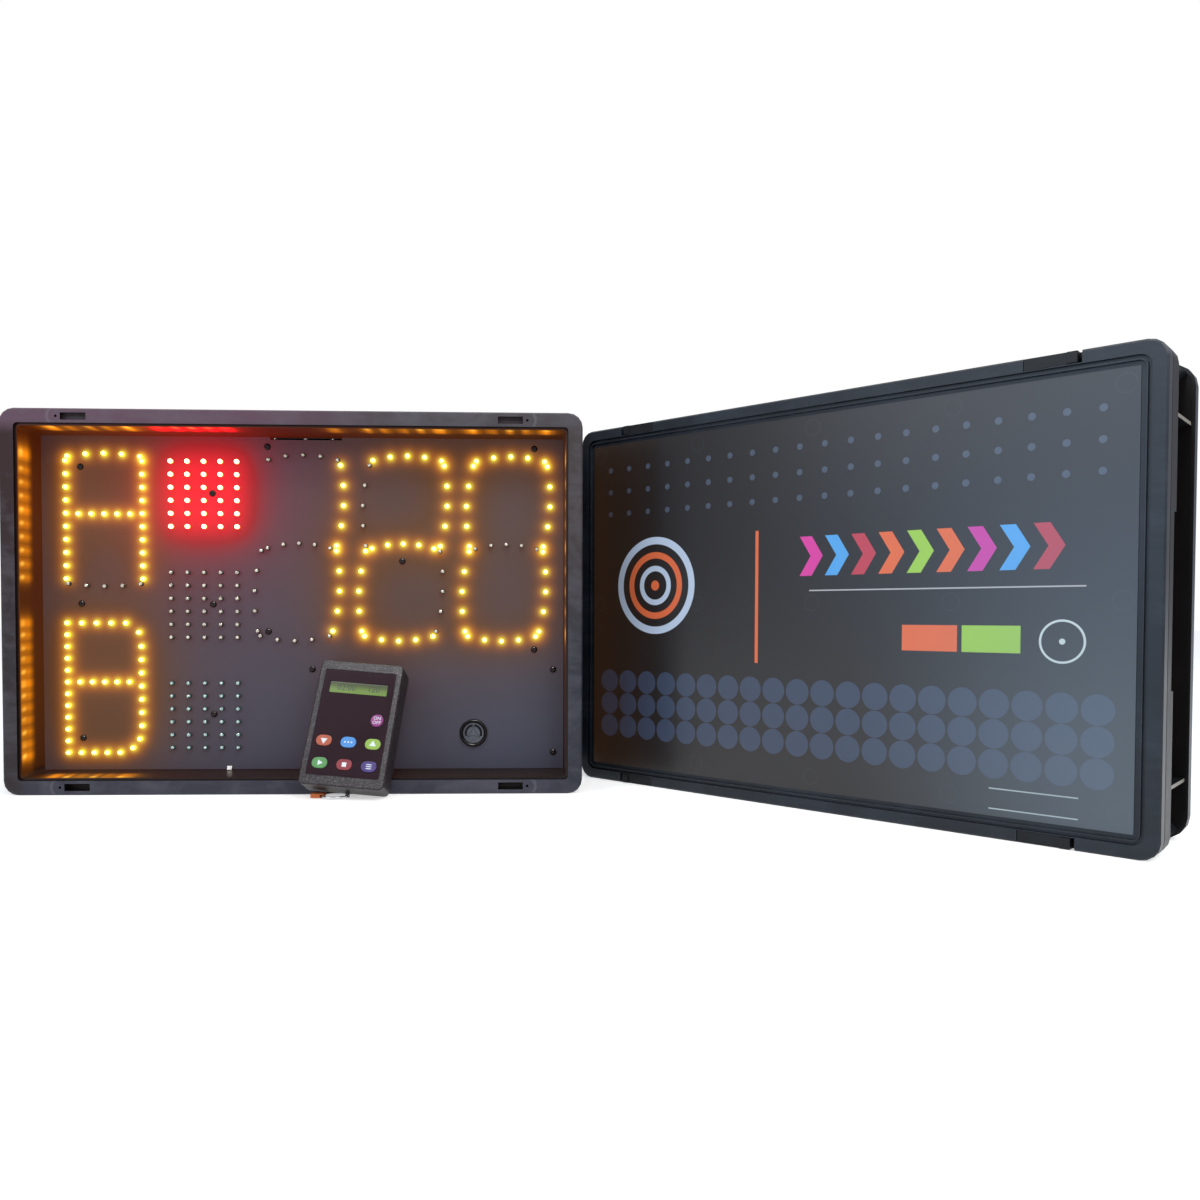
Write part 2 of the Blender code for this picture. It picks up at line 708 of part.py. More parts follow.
def letter_tops_z():
    """Top lamps of the A's columns and of the B's columns."""
    above = A_ARC_RISE + A_ARC_BOW
    upper_reach = (A_COLUMN_LAMPS - 1) * A_PITCH + A_FOOT_DROP + A_FOOT_BOW
    lower_reach = (B_COLUMN_LAMPS - 1) * B_PITCH
    gap = (CRATE_HEIGHT - above - upper_reach - lower_reach) / 3
    return CRATE_HEIGHT - gap - above, gap + lower_reach + B_SHIFT


def letter_screw_middle_z():
    """Height of the screw between the two letters."""
    a_top, b_top = letter_tops_z()
    a_foot = a_top - (A_COLUMN_LAMPS - 1) * A_PITCH - A_FOOT_DROP - A_FOOT_BOW
    return (a_foot + b_top) / 2 + LETTER_SCREW_MIDDLE_RISE


def lamp_board_ends_z():
    """Foot and top of the three lamp boards: midway between two blocks, or to the panel's edge."""
    half = (LAMP_ROWS - 1) / 2 * LAMP_ROW_PITCH
    red, amber, green = lamp_middles_z()
    upper = (red - half + amber + half) / 2
    lower = (amber - half + green + half) / 2
    return (
        (upper + TOUCH / 2, (red + half + panel_top()) / 2),
        (lower + TOUCH / 2, upper - TOUCH / 2),
        ((green - half + CRATE_HEIGHT - panel_top()) / 2, lower - TOUCH / 2),
    )


def lamp_middles_z():
    return (CRATE_HEIGHT - LAMP_RED_DROP, CRATE_HEIGHT / 2 - LAMP_AMBER_DROP, LAMP_GREEN_Z)


def control_screws():
    right = CRATE_WIDTH / 2 - CONTROL_SCREW_FROM_RIGHT
    upper = digit_board_ends_z()[0] - CONTROL_SCREW_FROM_DIGITS
    return [(right - CONTROL_SCREW_SPAN, upper), (right, upper), (right, CONTROL_SCREW_LOWER_Z)]


def panel_screws():
    """Screws of the letter boards, the lamp boards, the digit boards and the control board, in this order."""
    letter_screw_x = letter_x() - LETTER_SCREW_ASIDE
    a_top, b_top = letter_tops_z()
    b_foot = b_top - (B_COLUMN_LAMPS - 1) * B_PITCH
    screws = [
        (letter_screw_x, a_top - LETTER_SCREW_UPPER_DROP),
        (letter_screw_x, letter_screw_middle_z()),
        (letter_screw_x, b_foot + LETTER_SCREW_LOWER_RISE),
    ]
    screws += [(lamp_x() + LAMP_SCREW_ASIDE, z + rise) for z, rise in zip(lamp_middles_z(), LAMP_SCREW_RISES)]
    hundreds, tens, units = digit_middles_x()
    left = hundreds - DIGIT_SCREW_LEFT_ASIDE
    right = units + DIGIT_SCREW_RIGHT_ASIDE
    foot, top = digit_board_ends_z()
    screws += [(x, top - DIGIT_SCREW_FROM_TOP) for x in (left, right)]
    screws.append((left, foot + DIGIT_SCREW_LEFT_FROM_FOOT))
    screws.append((right, foot + DIGIT_SCREW_RIGHT_FROM_FOOT))
    screws.append((tens - DIGIT_SCREW_MIDDLE_ASIDE, digit_middle_z() - DIGIT_SCREW_MIDDLE_FALL))
    return screws + control_screws()


def panel_top():
    return CRATE_HEIGHT - tray_inset(PANEL_DEPTH + PANEL_THICKNESS) - PANEL_CLEARANCE


def build_panel(name, lamps, screws, stand):
    """The black sheet that the lamps stand through; it fills the tray at its depth."""
    outline = inset_loop(CRATE_HEIGHT - panel_top(), TRAY_CORNER)
    sheet = upright_sheet([outline], PANEL_DEPTH, PANEL_DEPTH + PANEL_THICKNESS)
    panel = add_part(name, sheet, "panel_black", stand)
    front = PANEL_DEPTH - PANEL_THICKNESS
    back = PANEL_DEPTH + 2 * PANEL_THICKNESS
    cuts = bmesh.new()
    cuts.from_mesh(box(
        (PANEL_NOTCH_LEFT, front, panel_top() - PANEL_NOTCH_HEIGHT),
        (PANEL_NOTCH_RIGHT, back, panel_top() + PANEL_NOTCH_HEIGHT),
    ))
    cone_body(cuts, SOUNDER_BORE, SOUNDER_BORE, front, back, sounder_middle(), SOUNDER_FACETS)
    for middle in screws:
        cone_body(cuts, SCREW_HOLE_RADIUS, SCREW_HOLE_RADIUS, front, back, middle, SMALL_FACETS)
    for middle in lamps:
        radius = LED_RADIUS + LED_HOLE_CLEARANCE
        cone_body(cuts, radius, radius, front, back, middle, LED_FACETS)
    combine(panel, add_tool(name + "_holes", mesh_from(cuts, "holes"), stand), "DIFFERENCE")


def steps_between(low, high, count):
    return [low + (high - low) * step / (count - 1) for step in range(count)]


def bow(share):
    """Rise of a shallow arc at a share from -1 to 1 of its half length."""
    return 1 - share * share


def digit_points(middle_x):
    """Lamps of one digit by segment letter, a to g, clockwise from the top and the bar last."""
    shares = steps_between(-1.0, 1.0, DIGIT_LAMPS)
    columns = steps_between(DIGIT_COLUMN_NEAR, DIGIT_COLUMN_FAR, DIGIT_LAMPS)
    segments = {
        "a": [(s * DIGIT_ROW_HALF, DIGIT_HALF_HEIGHT + DIGIT_BOW * bow(s)) for s in shares],
        "b": [(DIGIT_COLUMN_X + DIGIT_BOW * bow(s), z) for s, z in zip(shares, columns)],
        "c": [(DIGIT_COLUMN_X + DIGIT_BOW * bow(s), -z) for s, z in zip(shares, columns)],
        "d": [(s * DIGIT_ROW_HALF, -DIGIT_HALF_HEIGHT - DIGIT_BOW * bow(s)) for s in shares],
        "e": [(-DIGIT_COLUMN_X - DIGIT_BOW * bow(s), -z) for s, z in zip(shares, columns)],
        "f": [(-DIGIT_COLUMN_X - DIGIT_BOW * bow(s), z) for s, z in zip(shares, columns)],
        "g": [(s * DIGIT_BAR_HALF, DIGIT_BOW * bow(s)) for s in shares],
    }
    return {
        letter: [(middle_x + x + DIGIT_SLANT * z, digit_middle_z() + z) for x, z in lamps]
        for letter, lamps in segments.items()
    }


def chosen(segments, letters):
    return [lamp for letter in letters for lamp in segments[letter]]


def upper_letter_points():
    top_z = letter_tops_z()[0]
    columns = [
        (letter_x() + side * LETTER_HALF_WIDTH, top_z - step * A_PITCH)
        for side in (-1, 1)
        for step in range(A_COLUMN_LAMPS)
    ]
    foot_z = top_z - (A_COLUMN_LAMPS - 1) * A_PITCH - A_FOOT_DROP
    shares = steps_between(-1.0, 1.0, DIGIT_LAMPS)
    arc = [(letter_x() + s * A_ARC_HALF, top_z + A_ARC_RISE + A_ARC_BOW * bow(s)) for s in shares]
    bar = [(letter_x() + s * A_BAR_HALF, top_z - A_BAR_DROP) for s in shares]
    foot = [(letter_x() + s * A_ARC_HALF, foot_z - A_FOOT_BOW * bow(s)) for s in shares]
    return columns + arc + bar + foot


def lower_letter_points():
    top_z = letter_tops_z()[1]
    left = letter_x() - LETTER_HALF_WIDTH
    right = letter_x() + LETTER_HALF_WIDTH - B_CORNER_IN / 2
    foot_z = top_z - (B_COLUMN_LAMPS - 1) * B_PITCH
    lamps = [(left, top_z - step * B_PITCH) for step in range(B_COLUMN_LAMPS)]
    lamps += [(left + (step + 1) * B_TOP_ROW_PITCH, top_z) for step in range(DIGIT_LAMPS - 1)]
    lamps += [(right, top_z - B_RIGHT_TOP - step * B_RIGHT_PITCH) for step in range(B_RIGHT_LAMPS)]
    lamps += [(left + (step + 1) * B_FOOT_ROW_PITCH, foot_z) for step in range(DIGIT_LAMPS - 1)]
    lamps += [(left + (step + 1) * B_BAR_PITCH, top_z - B_BAR_DROP) for step in range(DIGIT_LAMPS)]
    last_z = top_z - B_RIGHT_TOP - B_RIGHT_LAMPS * B_RIGHT_PITCH
    lamps += [(right - B_CORNER_IN / 2, top_z - B_CORNER_DROP), (right - B_CORNER_IN / 2, last_z)]
    lamps += [(right - 2 * B_CORNER_IN, foot_z + B_CORNER_IN)]
    return lamps


def lamp_block_points(middle_z):
    columns = [lamp_x() + (step - (LAMP_COLUMNS - 1) / 2) * LAMP_COLUMN_PITCH for step in range(LAMP_COLUMNS)]
    rows = [middle_z + (step - (LAMP_ROWS - 1) / 2) * LAMP_ROW_PITCH for step in range(LAMP_ROWS)]
    return [(x, z) for z in rows for x in columns]


def board_front():
    return PANEL_DEPTH + PANEL_THICKNESS + TOUCH


def board_mesh(low, high, screws, holes=()):
    """A circuit board that lies behind the panel, with a hole for each panel screw in its reach."""
    middle = ((low[0] + high[0]) / 2, (low[1] + high[1]) / 2)
    loops = [rounded_loop(high[0] - low[0], high[1] - low[1], BOARD_THICKNESS, middle, 1), *holes]
    loops += [
        circle_loop(SCREW_HOLE_RADIUS, (x, z), SMALL_FACETS)
        for x, z in screws
        if low[0] < x < high[0] and low[1] < z < high[1]
    ]
    return upright_sheet(loops, board_front(), board_front() + BOARD_THICKNESS)


def build_lamp_board(name, finish, lamps, low, high, stand):
    """Lamps on their own board: they stand through the panel's holes and end in a tapered tip."""
    board = add_part(name, board_mesh(low, high, panel_screws()), finish, stand)
    bm = bmesh.new()
    for middle in lamps:
        cone_body(
            bm, LED_RADIUS, LED_TIP_RADIUS, PANEL_DEPTH - LED_HEIGHT, board_front() + BOARD_THICKNESS / 2, middle,
            LED_FACETS)
    combine(board, add_tool(name + "_lamps", mesh_from(bm, "lamps"), stand), "UNION")


def lamp_groups():
    """Node name, finish, lamp positions and board corners of each group on the panel."""
    groups = []
    half_gap = TOUCH / 2
    digits = (("hundreds", "abcdeg"), ("tens", "abcdefg"), ("units", "abcdefg"))
    for (name, letters), middle_x in zip(digits, digit_middles_x()):
        low = (middle_x - DIGIT_PITCH / 2 + half_gap, digit_board_ends_z()[0])
        high = (middle_x + DIGIT_PITCH / 2 - half_gap, digit_board_ends_z()[1])
        groups.append((f"digit_{name}_leds", "amber_led", chosen(digit_points(middle_x), letters), low, high))
    left = letter_x() - LETTER_HALF_WIDTH - BOARD_MARGIN
    right = letter_x() + LETTER_HALF_WIDTH + BOARD_MARGIN
    upper_lamps = upper_letter_points()
    lower_lamps = lower_letter_points()
    upper = (max(z for _, z in upper_lamps) + panel_top()) / 2
    split = letter_screw_middle_z() + LETTER_SPLIT_OVER_SCREW
    lower = (min(z for _, z in lower_lamps) + CRATE_HEIGHT - panel_top()) / 2
    groups.append(("letter_upper_leds", "amber_led", upper_lamps, (left, split + half_gap), (right, upper)))
    groups.append(("letter_lower_leds", "amber_led", lower_lamps, (left, lower), (right, split - half_gap)))
    reach = (LAMP_COLUMNS - 1) / 2 * LAMP_COLUMN_PITCH + BOARD_MARGIN
    finishes = (("red", "red_led"), ("amber", "clear_led"), ("green", "green_led"))
    for (colour, finish), middle_z, ends in zip(finishes, lamp_middles_z(), lamp_board_ends_z()):
        low = (lamp_x() - reach, ends[0])
        high = (lamp_x() + reach, ends[1])
        groups.append((f"lamp_{colour}_leds", finish, lamp_block_points(middle_z), low, high))
    return groups


def control_board_mesh():
    screws = control_screws()
    left = screws[0][0] - BOARD_MARGIN
    right = screws[1][0] + BOARD_MARGIN / 2
    low = CONTROL_SCREW_LOWER_Z - BOARD_MARGIN
    high = digit_board_ends_z()[0] - TOUCH
    hole = circle_loop(SOUNDER_BORE, sounder_middle(), SOUNDER_FACETS)
    return board_mesh((left, low), (right, high), screws, [hole])


def build_sounder(stand):
    """Ring on the panel's face, slotted cap inside it, and the sounder's body through the panel."""
    middle = sounder_middle()
    shelf = SOUNDER_HEIGHT - SOUNDER_CAP_DROP
    profile = (
        ((SOUNDER_RADIUS + SOUNDER_BORE) / 2, SOUNDER_HEIGHT),
        (SOUNDER_RADIUS, SOUNDER_HEIGHT * 2 / 3),
        (SOUNDER_RADIUS, TOUCH),
        (SOUNDER_BORE, TOUCH),
        (SOUNDER_BORE, shelf),
    )
    turned_part("a_sounder_bezel", profile, "sounder_black", stand, middle, SOUNDER_FACETS)
    loops = [circle_loop(SOUNDER_BORE - TOUCH, middle, SOUNDER_FACETS)]
    for third in range(3):
        angle = math.radians(30 + 120 * third)
        loops.append(arc_slot_loop(SOUNDER_SLOT_INNER, SOUNDER_SLOT_OUTER, angle, SOUNDER_SLOT_HALF_ANGLE, middle))
    front = PANEL_DEPTH - shelf
    cap = upright_sheet(loops, front, front + SOUNDER_CAP_THICKNESS)
    add_part("a_sounder_cap", cap, "sounder_grey", stand)
    body = bmesh.new()
    body_front = front + SOUNDER_CAP_THICKNESS + TOUCH
    cone_body(
        body, SOUNDER_BORE - 2 * TOUCH, SOUNDER_BORE - 2 * TOUCH, body_front, body_front + SOUNDER_BODY_LENGTH, middle,
        SOUNDER_FACETS)
    add_part("a_sounder_body", mesh_from(body, "sounder"), "sounder_black", stand)


def build_screws(stand):
    """Dome-head screws: head on the panel's face, shank through the panel and the board behind it."""
    tail = -PANEL_THICKNESS - BOARD_THICKNESS - SCREW_TAIL
    profile = (
        (0.0, SCREW_HEAD_HEIGHT),
        (SCREW_HEAD_RADIUS * 0.62, SCREW_HEAD_HEIGHT * 0.78),
        (SCREW_HEAD_RADIUS, TOUCH),
        (SCREW_SHANK_RADIUS, TOUCH),
        (SCREW_SHANK_RADIUS, tail),
        (0.0, tail),
    )
    for number, middle in enumerate(panel_screws(), 1):
        turned_part(f"a_panel_screw_{number:02d}", profile, "black_screw", stand, middle, 6)


def build_socket_strip(stand):
    """Nickel strip under the tray's top wall, behind the panel's notch, with three screw heads that hang from it."""
    depth = PANEL_DEPTH + PANEL_THICKNESS / 2
    top = CRATE_HEIGHT - tray_inset(depth + SOCKET_STRIP_WIDTH) - TOUCH
    middle_x = (PANEL_NOTCH_LEFT + PANEL_NOTCH_RIGHT) / 2
    strip_low = top - STRAP_THICKNESS / 2
    strip = add_part("a_socket_strip", box(
        (middle_x - SOCKET_STRIP_LENGTH / 2, depth, strip_low),
        (middle_x + SOCKET_STRIP_LENGTH / 2, depth + SOCKET_STRIP_WIDTH, top),
    ), "nickel", stand)
    heads = bmesh.new()
    for x in SOCKET_SCREWS_X:
        height = SOCKET_SCREW_HEIGHT + STRAP_THICKNESS / 4
        place = Vector((x, depth + SOCKET_SCREW_RADIUS, strip_low - SOCKET_SCREW_HEIGHT + height / 2))
        bmesh.ops.create_cone(
            heads,
            cap_ends=True,
            cap_tris=False,
            segments=SMALL_FACETS,
            radius1=SOCKET_SCREW_RADIUS * 0.8,
            radius2=SOCKET_SCREW_RADIUS,
            depth=height,
            matrix=Matrix.Translation(place),
        )
    combine(strip, add_tool("a_socket_screws", mesh_from(heads, "heads"), stand), "UNION")


def build_battery(prefix, stand):
    """The pack lies on the tray's floor, held by a hat-shaped strap."""
    back = CRATE_DEPTH - TRAY_WALL - TOUCH
    front = back - BATTERY_DEPTH
    low = BATTERY_FROM_EDGE
    high = low + BATTERY_HEIGHT
    left = BATTERY_X - BATTERY_WIDTH / 2
    pack = rounded_block((left, front, low), (left + BATTERY_WIDTH, back, high), 2 * STRAP_THICKNESS, facets=1)
    add_part(prefix + "battery_pack", pack, "battery_blue", stand)
    inner = TOUCH
    outer = TOUCH + STRAP_THICKNESS
    outline = [
        (back, low - STRAP_FOOT),
        (back, low - inner),
        (front - inner, low - inner),
        (front - inner, high + inner),
        (back, high + inner),
        (back, high + STRAP_FOOT),
        (back - STRAP_THICKNESS, high + STRAP_FOOT),
        (back - STRAP_THICKNESS, high + outer),
        (front - outer, high + outer),
        (front - outer, low - outer),
        (back - STRAP_THICKNESS, low - outer),
        (back - STRAP_THICKNESS, low - STRAP_FOOT),
    ]
    frame = Matrix(((0, 0, 1, BATTERY_X), (1, 0, 0, 0), (0, 1, 0, 0), (0, 0, 0, 1)))
    add_part(prefix + "battery_strap", outline_mesh([outline], STRAP_WIDTH, frame), "steel", stand)


def build_open_display(stand):
    groups = lamp_groups()
    build_crate("a_crate", stand)
    build_panel("a_display_panel", [lamp for group in groups for lamp in group[2]], panel_screws(), stand)
    for name, finish, lamps, low, high in groups:
        build_lamp_board("a_" + name, finish, lamps, low, high, stand)
    add_part("a_control_board", control_board_mesh(), "board_green", stand)
    build_screws(stand)
    build_sounder(stand)
    build_battery("a_", stand)
    build_socket_strip(stand)
    low = tray_inset(PANEL_DEPTH) + PANEL_CLEARANCE
    clip = [
        (PANEL_DEPTH - TOUCH, low + CLIP_HEIGHT),
        (PANEL_DEPTH - TOUCH - STRAP_THICKNESS, low + CLIP_HEIGHT),
        (PANEL_DEPTH - TOUCH - 2 * STRAP_THICKNESS, low),
        (PANEL_DEPTH - TOUCH, low),
    ]
    frame = Matrix(((0, 0, 1, CLIP_X), (1, 0, 0, 0), (0, 1, 0, 0), (0, 0, 0, 1)))
    add_part("a_panel_clip", outline_mesh([clip], CLIP_WIDTH, frame), "nickel", stand)


def build_closed_display(stand):
    """The same box closed: its inside is plain, because the lid hides it."""
    build_crate("b_crate", stand)
    build_panel("b_display_panel", [], [], stand)
    boards = [group[3:] for group in lamp_groups()]
    low = tuple(min(corner[0][axis] for corner in boards) for axis in (0, 1))
    high = tuple(max(corner[1][axis] for corner in boards) for axis in (0, 1))
    hole = circle_loop(SOUNDER_BORE, sounder_middle(), SOUNDER_FACETS)
    add_part("b_circuit_board", board_mesh(low, high, [], [hole]), "board_green", stand)
    body = bmesh.new()
    front = PANEL_DEPTH - SOUNDER_HEIGHT
    cone_body(
        body, SOUNDER_BORE - 2 * TOUCH, SOUNDER_BORE - 2 * TOUCH, front, front + SOUNDER_BODY_LENGTH,
        sounder_middle(), SOUNDER_FACETS)
    add_part("b_sounder", mesh_from(body, "sounder"), "sounder_black", stand)
    build_battery("b_", stand)
    build_lid(stand)


def build_lid(stand):
    front = -TOUCH - LID_THICKNESS
    half = CRATE_WIDTH / 2
    block = rounded_block((-half, front, 0.0), (half, -TOUCH, CRATE_HEIGHT), CRATE_CORNER, RIM_EDGE_ROUND)
    lid = add_part("b_lid", block, "lid_print", stand)
    groove_inner = LID_FRAME + LID_GROOVE
    ridge_inner = groove_inner + LID_RIDGE
    panel_edge = ridge_inner + LID_STEP
    corner = CRATE_CORNER - LID_FRAME / 2
    groove = upright_sheet(
        [inset_loop(LID_FRAME, corner), inset_loop(groove_inner, corner - LID_GROOVE)],
        front - LID_GROOVE_DEPTH,
        front + LID_GROOVE_DEPTH,
    )
    step = upright_sheet(
        [inset_loop(ridge_inner, corner - LID_GROOVE - LID_RIDGE), inset_loop(panel_edge, LID_RIDGE)],
        front - LID_STEP_DEPTH,
        front + LID_STEP_DEPTH,
    )
    face_edge = ridge_inner + LID_STEP / 2
    face = upright_sheet([inset_loop(face_edge, LID_STEP)], front - LID_STEP_DEPTH, front + LID_PANEL_DEPTH)
    plug_inset = tray_inset(LID_PLUG_LENGTH) + LID_PLUG_CLEARANCE
    under = panel_edge + LID_POCKET_WALL
    hollow = upright_sheet([inset_loop(under, TRAY_CORNER)], front + LID_PANEL_DEPTH + LID_SKIN, RIM_DEPTH)
    combine(lid, add_tool("lid_groove", groove, stand), "DIFFERENCE")
    combine(lid, add_tool("lid_step", step, stand), "DIFFERENCE")
    combine(lid, add_tool("lid_face", face, stand), "DIFFERENCE")
    combine(lid, add_tool("lid_hollow", hollow, stand), "DIFFERENCE")
    cuts = []
    latch_clear = half - LATCH_RECESS_FROM_END - LATCH_RECESS_LENGTH - LID_POCKET_WALL
    pocket_front = front + LID_GROOVE_DEPTH + LID_SKIN
    pocket_high = panel_edge - LID_POCKET_WALL
    for side in (-1, 1):
        levels = sorted((long_side_level(side, LID_POCKET_WALL), long_side_level(side, pocket_high)))
        cuts.append(box((-latch_clear, pocket_front, levels[0]), (latch_clear, RIM_DEPTH, levels[1])))
        ends = sorted((side * (half - LID_POCKET_WALL), side * (half - pocket_high)))
        end_low = panel_edge + LID_POCKET_WALL
        cuts.append(box((ends[0], pocket_front, end_low), (ends[1], RIM_DEPTH, CRATE_HEIGHT - end_low)))
    for side_x in (-1, 1):
        for side_z in (-1, 1):
            cuts.append(slot_box(
                side_x, side_z, LATCH_RECESS_FROM_END, LATCH_RECESS_LENGTH,
                -LATCH_RECESS_HEIGHT, 2 * LATCH_RECESS_HEIGHT, front - LATCH_FLOOR, -TOUCH - LATCH_FLOOR,
            ))
    combine(lid, add_tool("lid_cuts", joined("lid_cuts", cuts), stand), "DIFFERENCE")
    slot_width = SLOT_WIDTH - LATCH_STEM_HEIGHT / 2
    slots = [
        slot_box(x, z, SLOT_FROM_END, SLOT_LENGTH, SLOT_INSET, slot_width, -2 * LATCH_FLOOR, RIM_DEPTH)
        for x in (-1, 1)
        for z in (-1, 1)
    ]
    combine(lid, add_tool("lid_slots", joined("lid_slots", slots), stand), "DIFFERENCE")
    plug = upright_sheet(
        [
            inset_loop(plug_inset, TRAY_CORNER),
            inset_loop(plug_inset + LID_PLUG_WALL, TRAY_CORNER - LID_PLUG_WALL / 2),
        ],
        -TOUCH - LID_SKIN,
        LID_PLUG_LENGTH,
    )
    combine(lid, add_tool("lid_plug", plug, stand), "UNION")
    for row, side_z in (("top", 1), ("bottom", -1)):
        for column, side_x in (("left", -1), ("right", 1)):
            build_latch(f"b_latch_{row}_{column}", side_x, side_z, stand)


def build_latch(name, side_x, side_z, stand):
    """Slider with a thumb ridge, a stem through the lid and the rim's slot, and a hook behind the rim."""
    gap = TOUCH
    front = -TOUCH - LID_THICKNESS + LATCH_SINK
    floor = -TOUCH - LATCH_FLOOR - gap
    near = LATCH_RECESS_FROM_END + LATCH_TRAVEL + gap
    length = LATCH_RECESS_LENGTH - LATCH_TRAVEL - 2 * gap
    height = LATCH_RECESS_HEIGHT - 2 * gap
    plate = slot_box(side_x, side_z, near, length, gap, height, front, floor)
    latch = add_part(name, plate, "black_crate", stand)
    thumb = slot_box(
        side_x, side_z, near, LATCH_THUMB_LENGTH, gap, height - LATCH_SINK, front - LATCH_THUMB_RISE, front + LATCH_SINK)
    stem_near = SLOT_FROM_END + LATCH_TRAVEL + gap
    stem_length = SLOT_LENGTH - LATCH_TRAVEL - 2 * gap
    stem_inset = SLOT_INSET + 2 * gap
    hook_front = RIM_THICKNESS + gap
    hook_back = hook_front + LATCH_HOOK_THICKNESS
    stem = slot_box(
        side_x, side_z, stem_near, stem_length, stem_inset, LATCH_STEM_HEIGHT, floor - LATCH_FLOOR, hook_back - gap)
    hook = slot_box(
        side_x, side_z, stem_near - LATCH_HOOK_REACH + gap, stem_length + LATCH_HOOK_REACH - 2 * gap,
        stem_inset + gap / 2, LATCH_STEM_HEIGHT - gap, hook_front, hook_back)
    combine(latch, add_tool(name + "_thumb", thumb, stand), "UNION")
    combine(latch, add_tool(name + "_stem", stem, stand), "UNION")
    combine(latch, add_tool(name + "_hook", hook, stand), "UNION")


def lcd_z():
    return REMOTE_LENGTH - LCD_FROM_TOP


def power_key_z():
    """A little below the middle of the space between the upper keys and the display module."""
    keys_top = KEY_LOW_ROW_Z + KEY_ROW_PITCH + KEY_HEIGHT / 2
    module_foot = lcd_z() - LCD_HEIGHT / 2 - LCD_MODULE_MARGIN
    return (keys_top + module_foot) / 2 - POWER_KEY_SHIFT


def remote_keys():
    """Node name, finish and place of each key; the power key is round."""
    columns = (-KEY_COLUMN_PITCH, 0.0, KEY_COLUMN_PITCH)
    upper = KEY_LOW_ROW_Z + KEY_ROW_PITCH
    return (
        ("key_power", "key_magenta", (columns[2], power_key_z())),
        ("key_down", "key_orange", (columns[0], upper)),
        ("key_select", "key_blue", (columns[1], upper)),
        ("key_up", "key_lime", (columns[2], upper)),
        ("key_start", "key_green", (columns[0], KEY_LOW_ROW_Z)),
        ("key_stop", "key_red", (columns[1], KEY_LOW_ROW_Z)),
        ("key_mode", "key_indigo", (columns[2], KEY_LOW_ROW_Z)),
    )


def key_loop(name, middle, growth):
    if name == "key_power":
        return circle_loop(POWER_KEY_RADIUS + growth, middle, POWER_KEY_FACETS)
    width = KEY_WIDTH + 2 * growth
    height = KEY_HEIGHT + 2 * growth
    return rounded_loop(width, height, height / 2 - TOUCH, middle, KEY_FACETS)


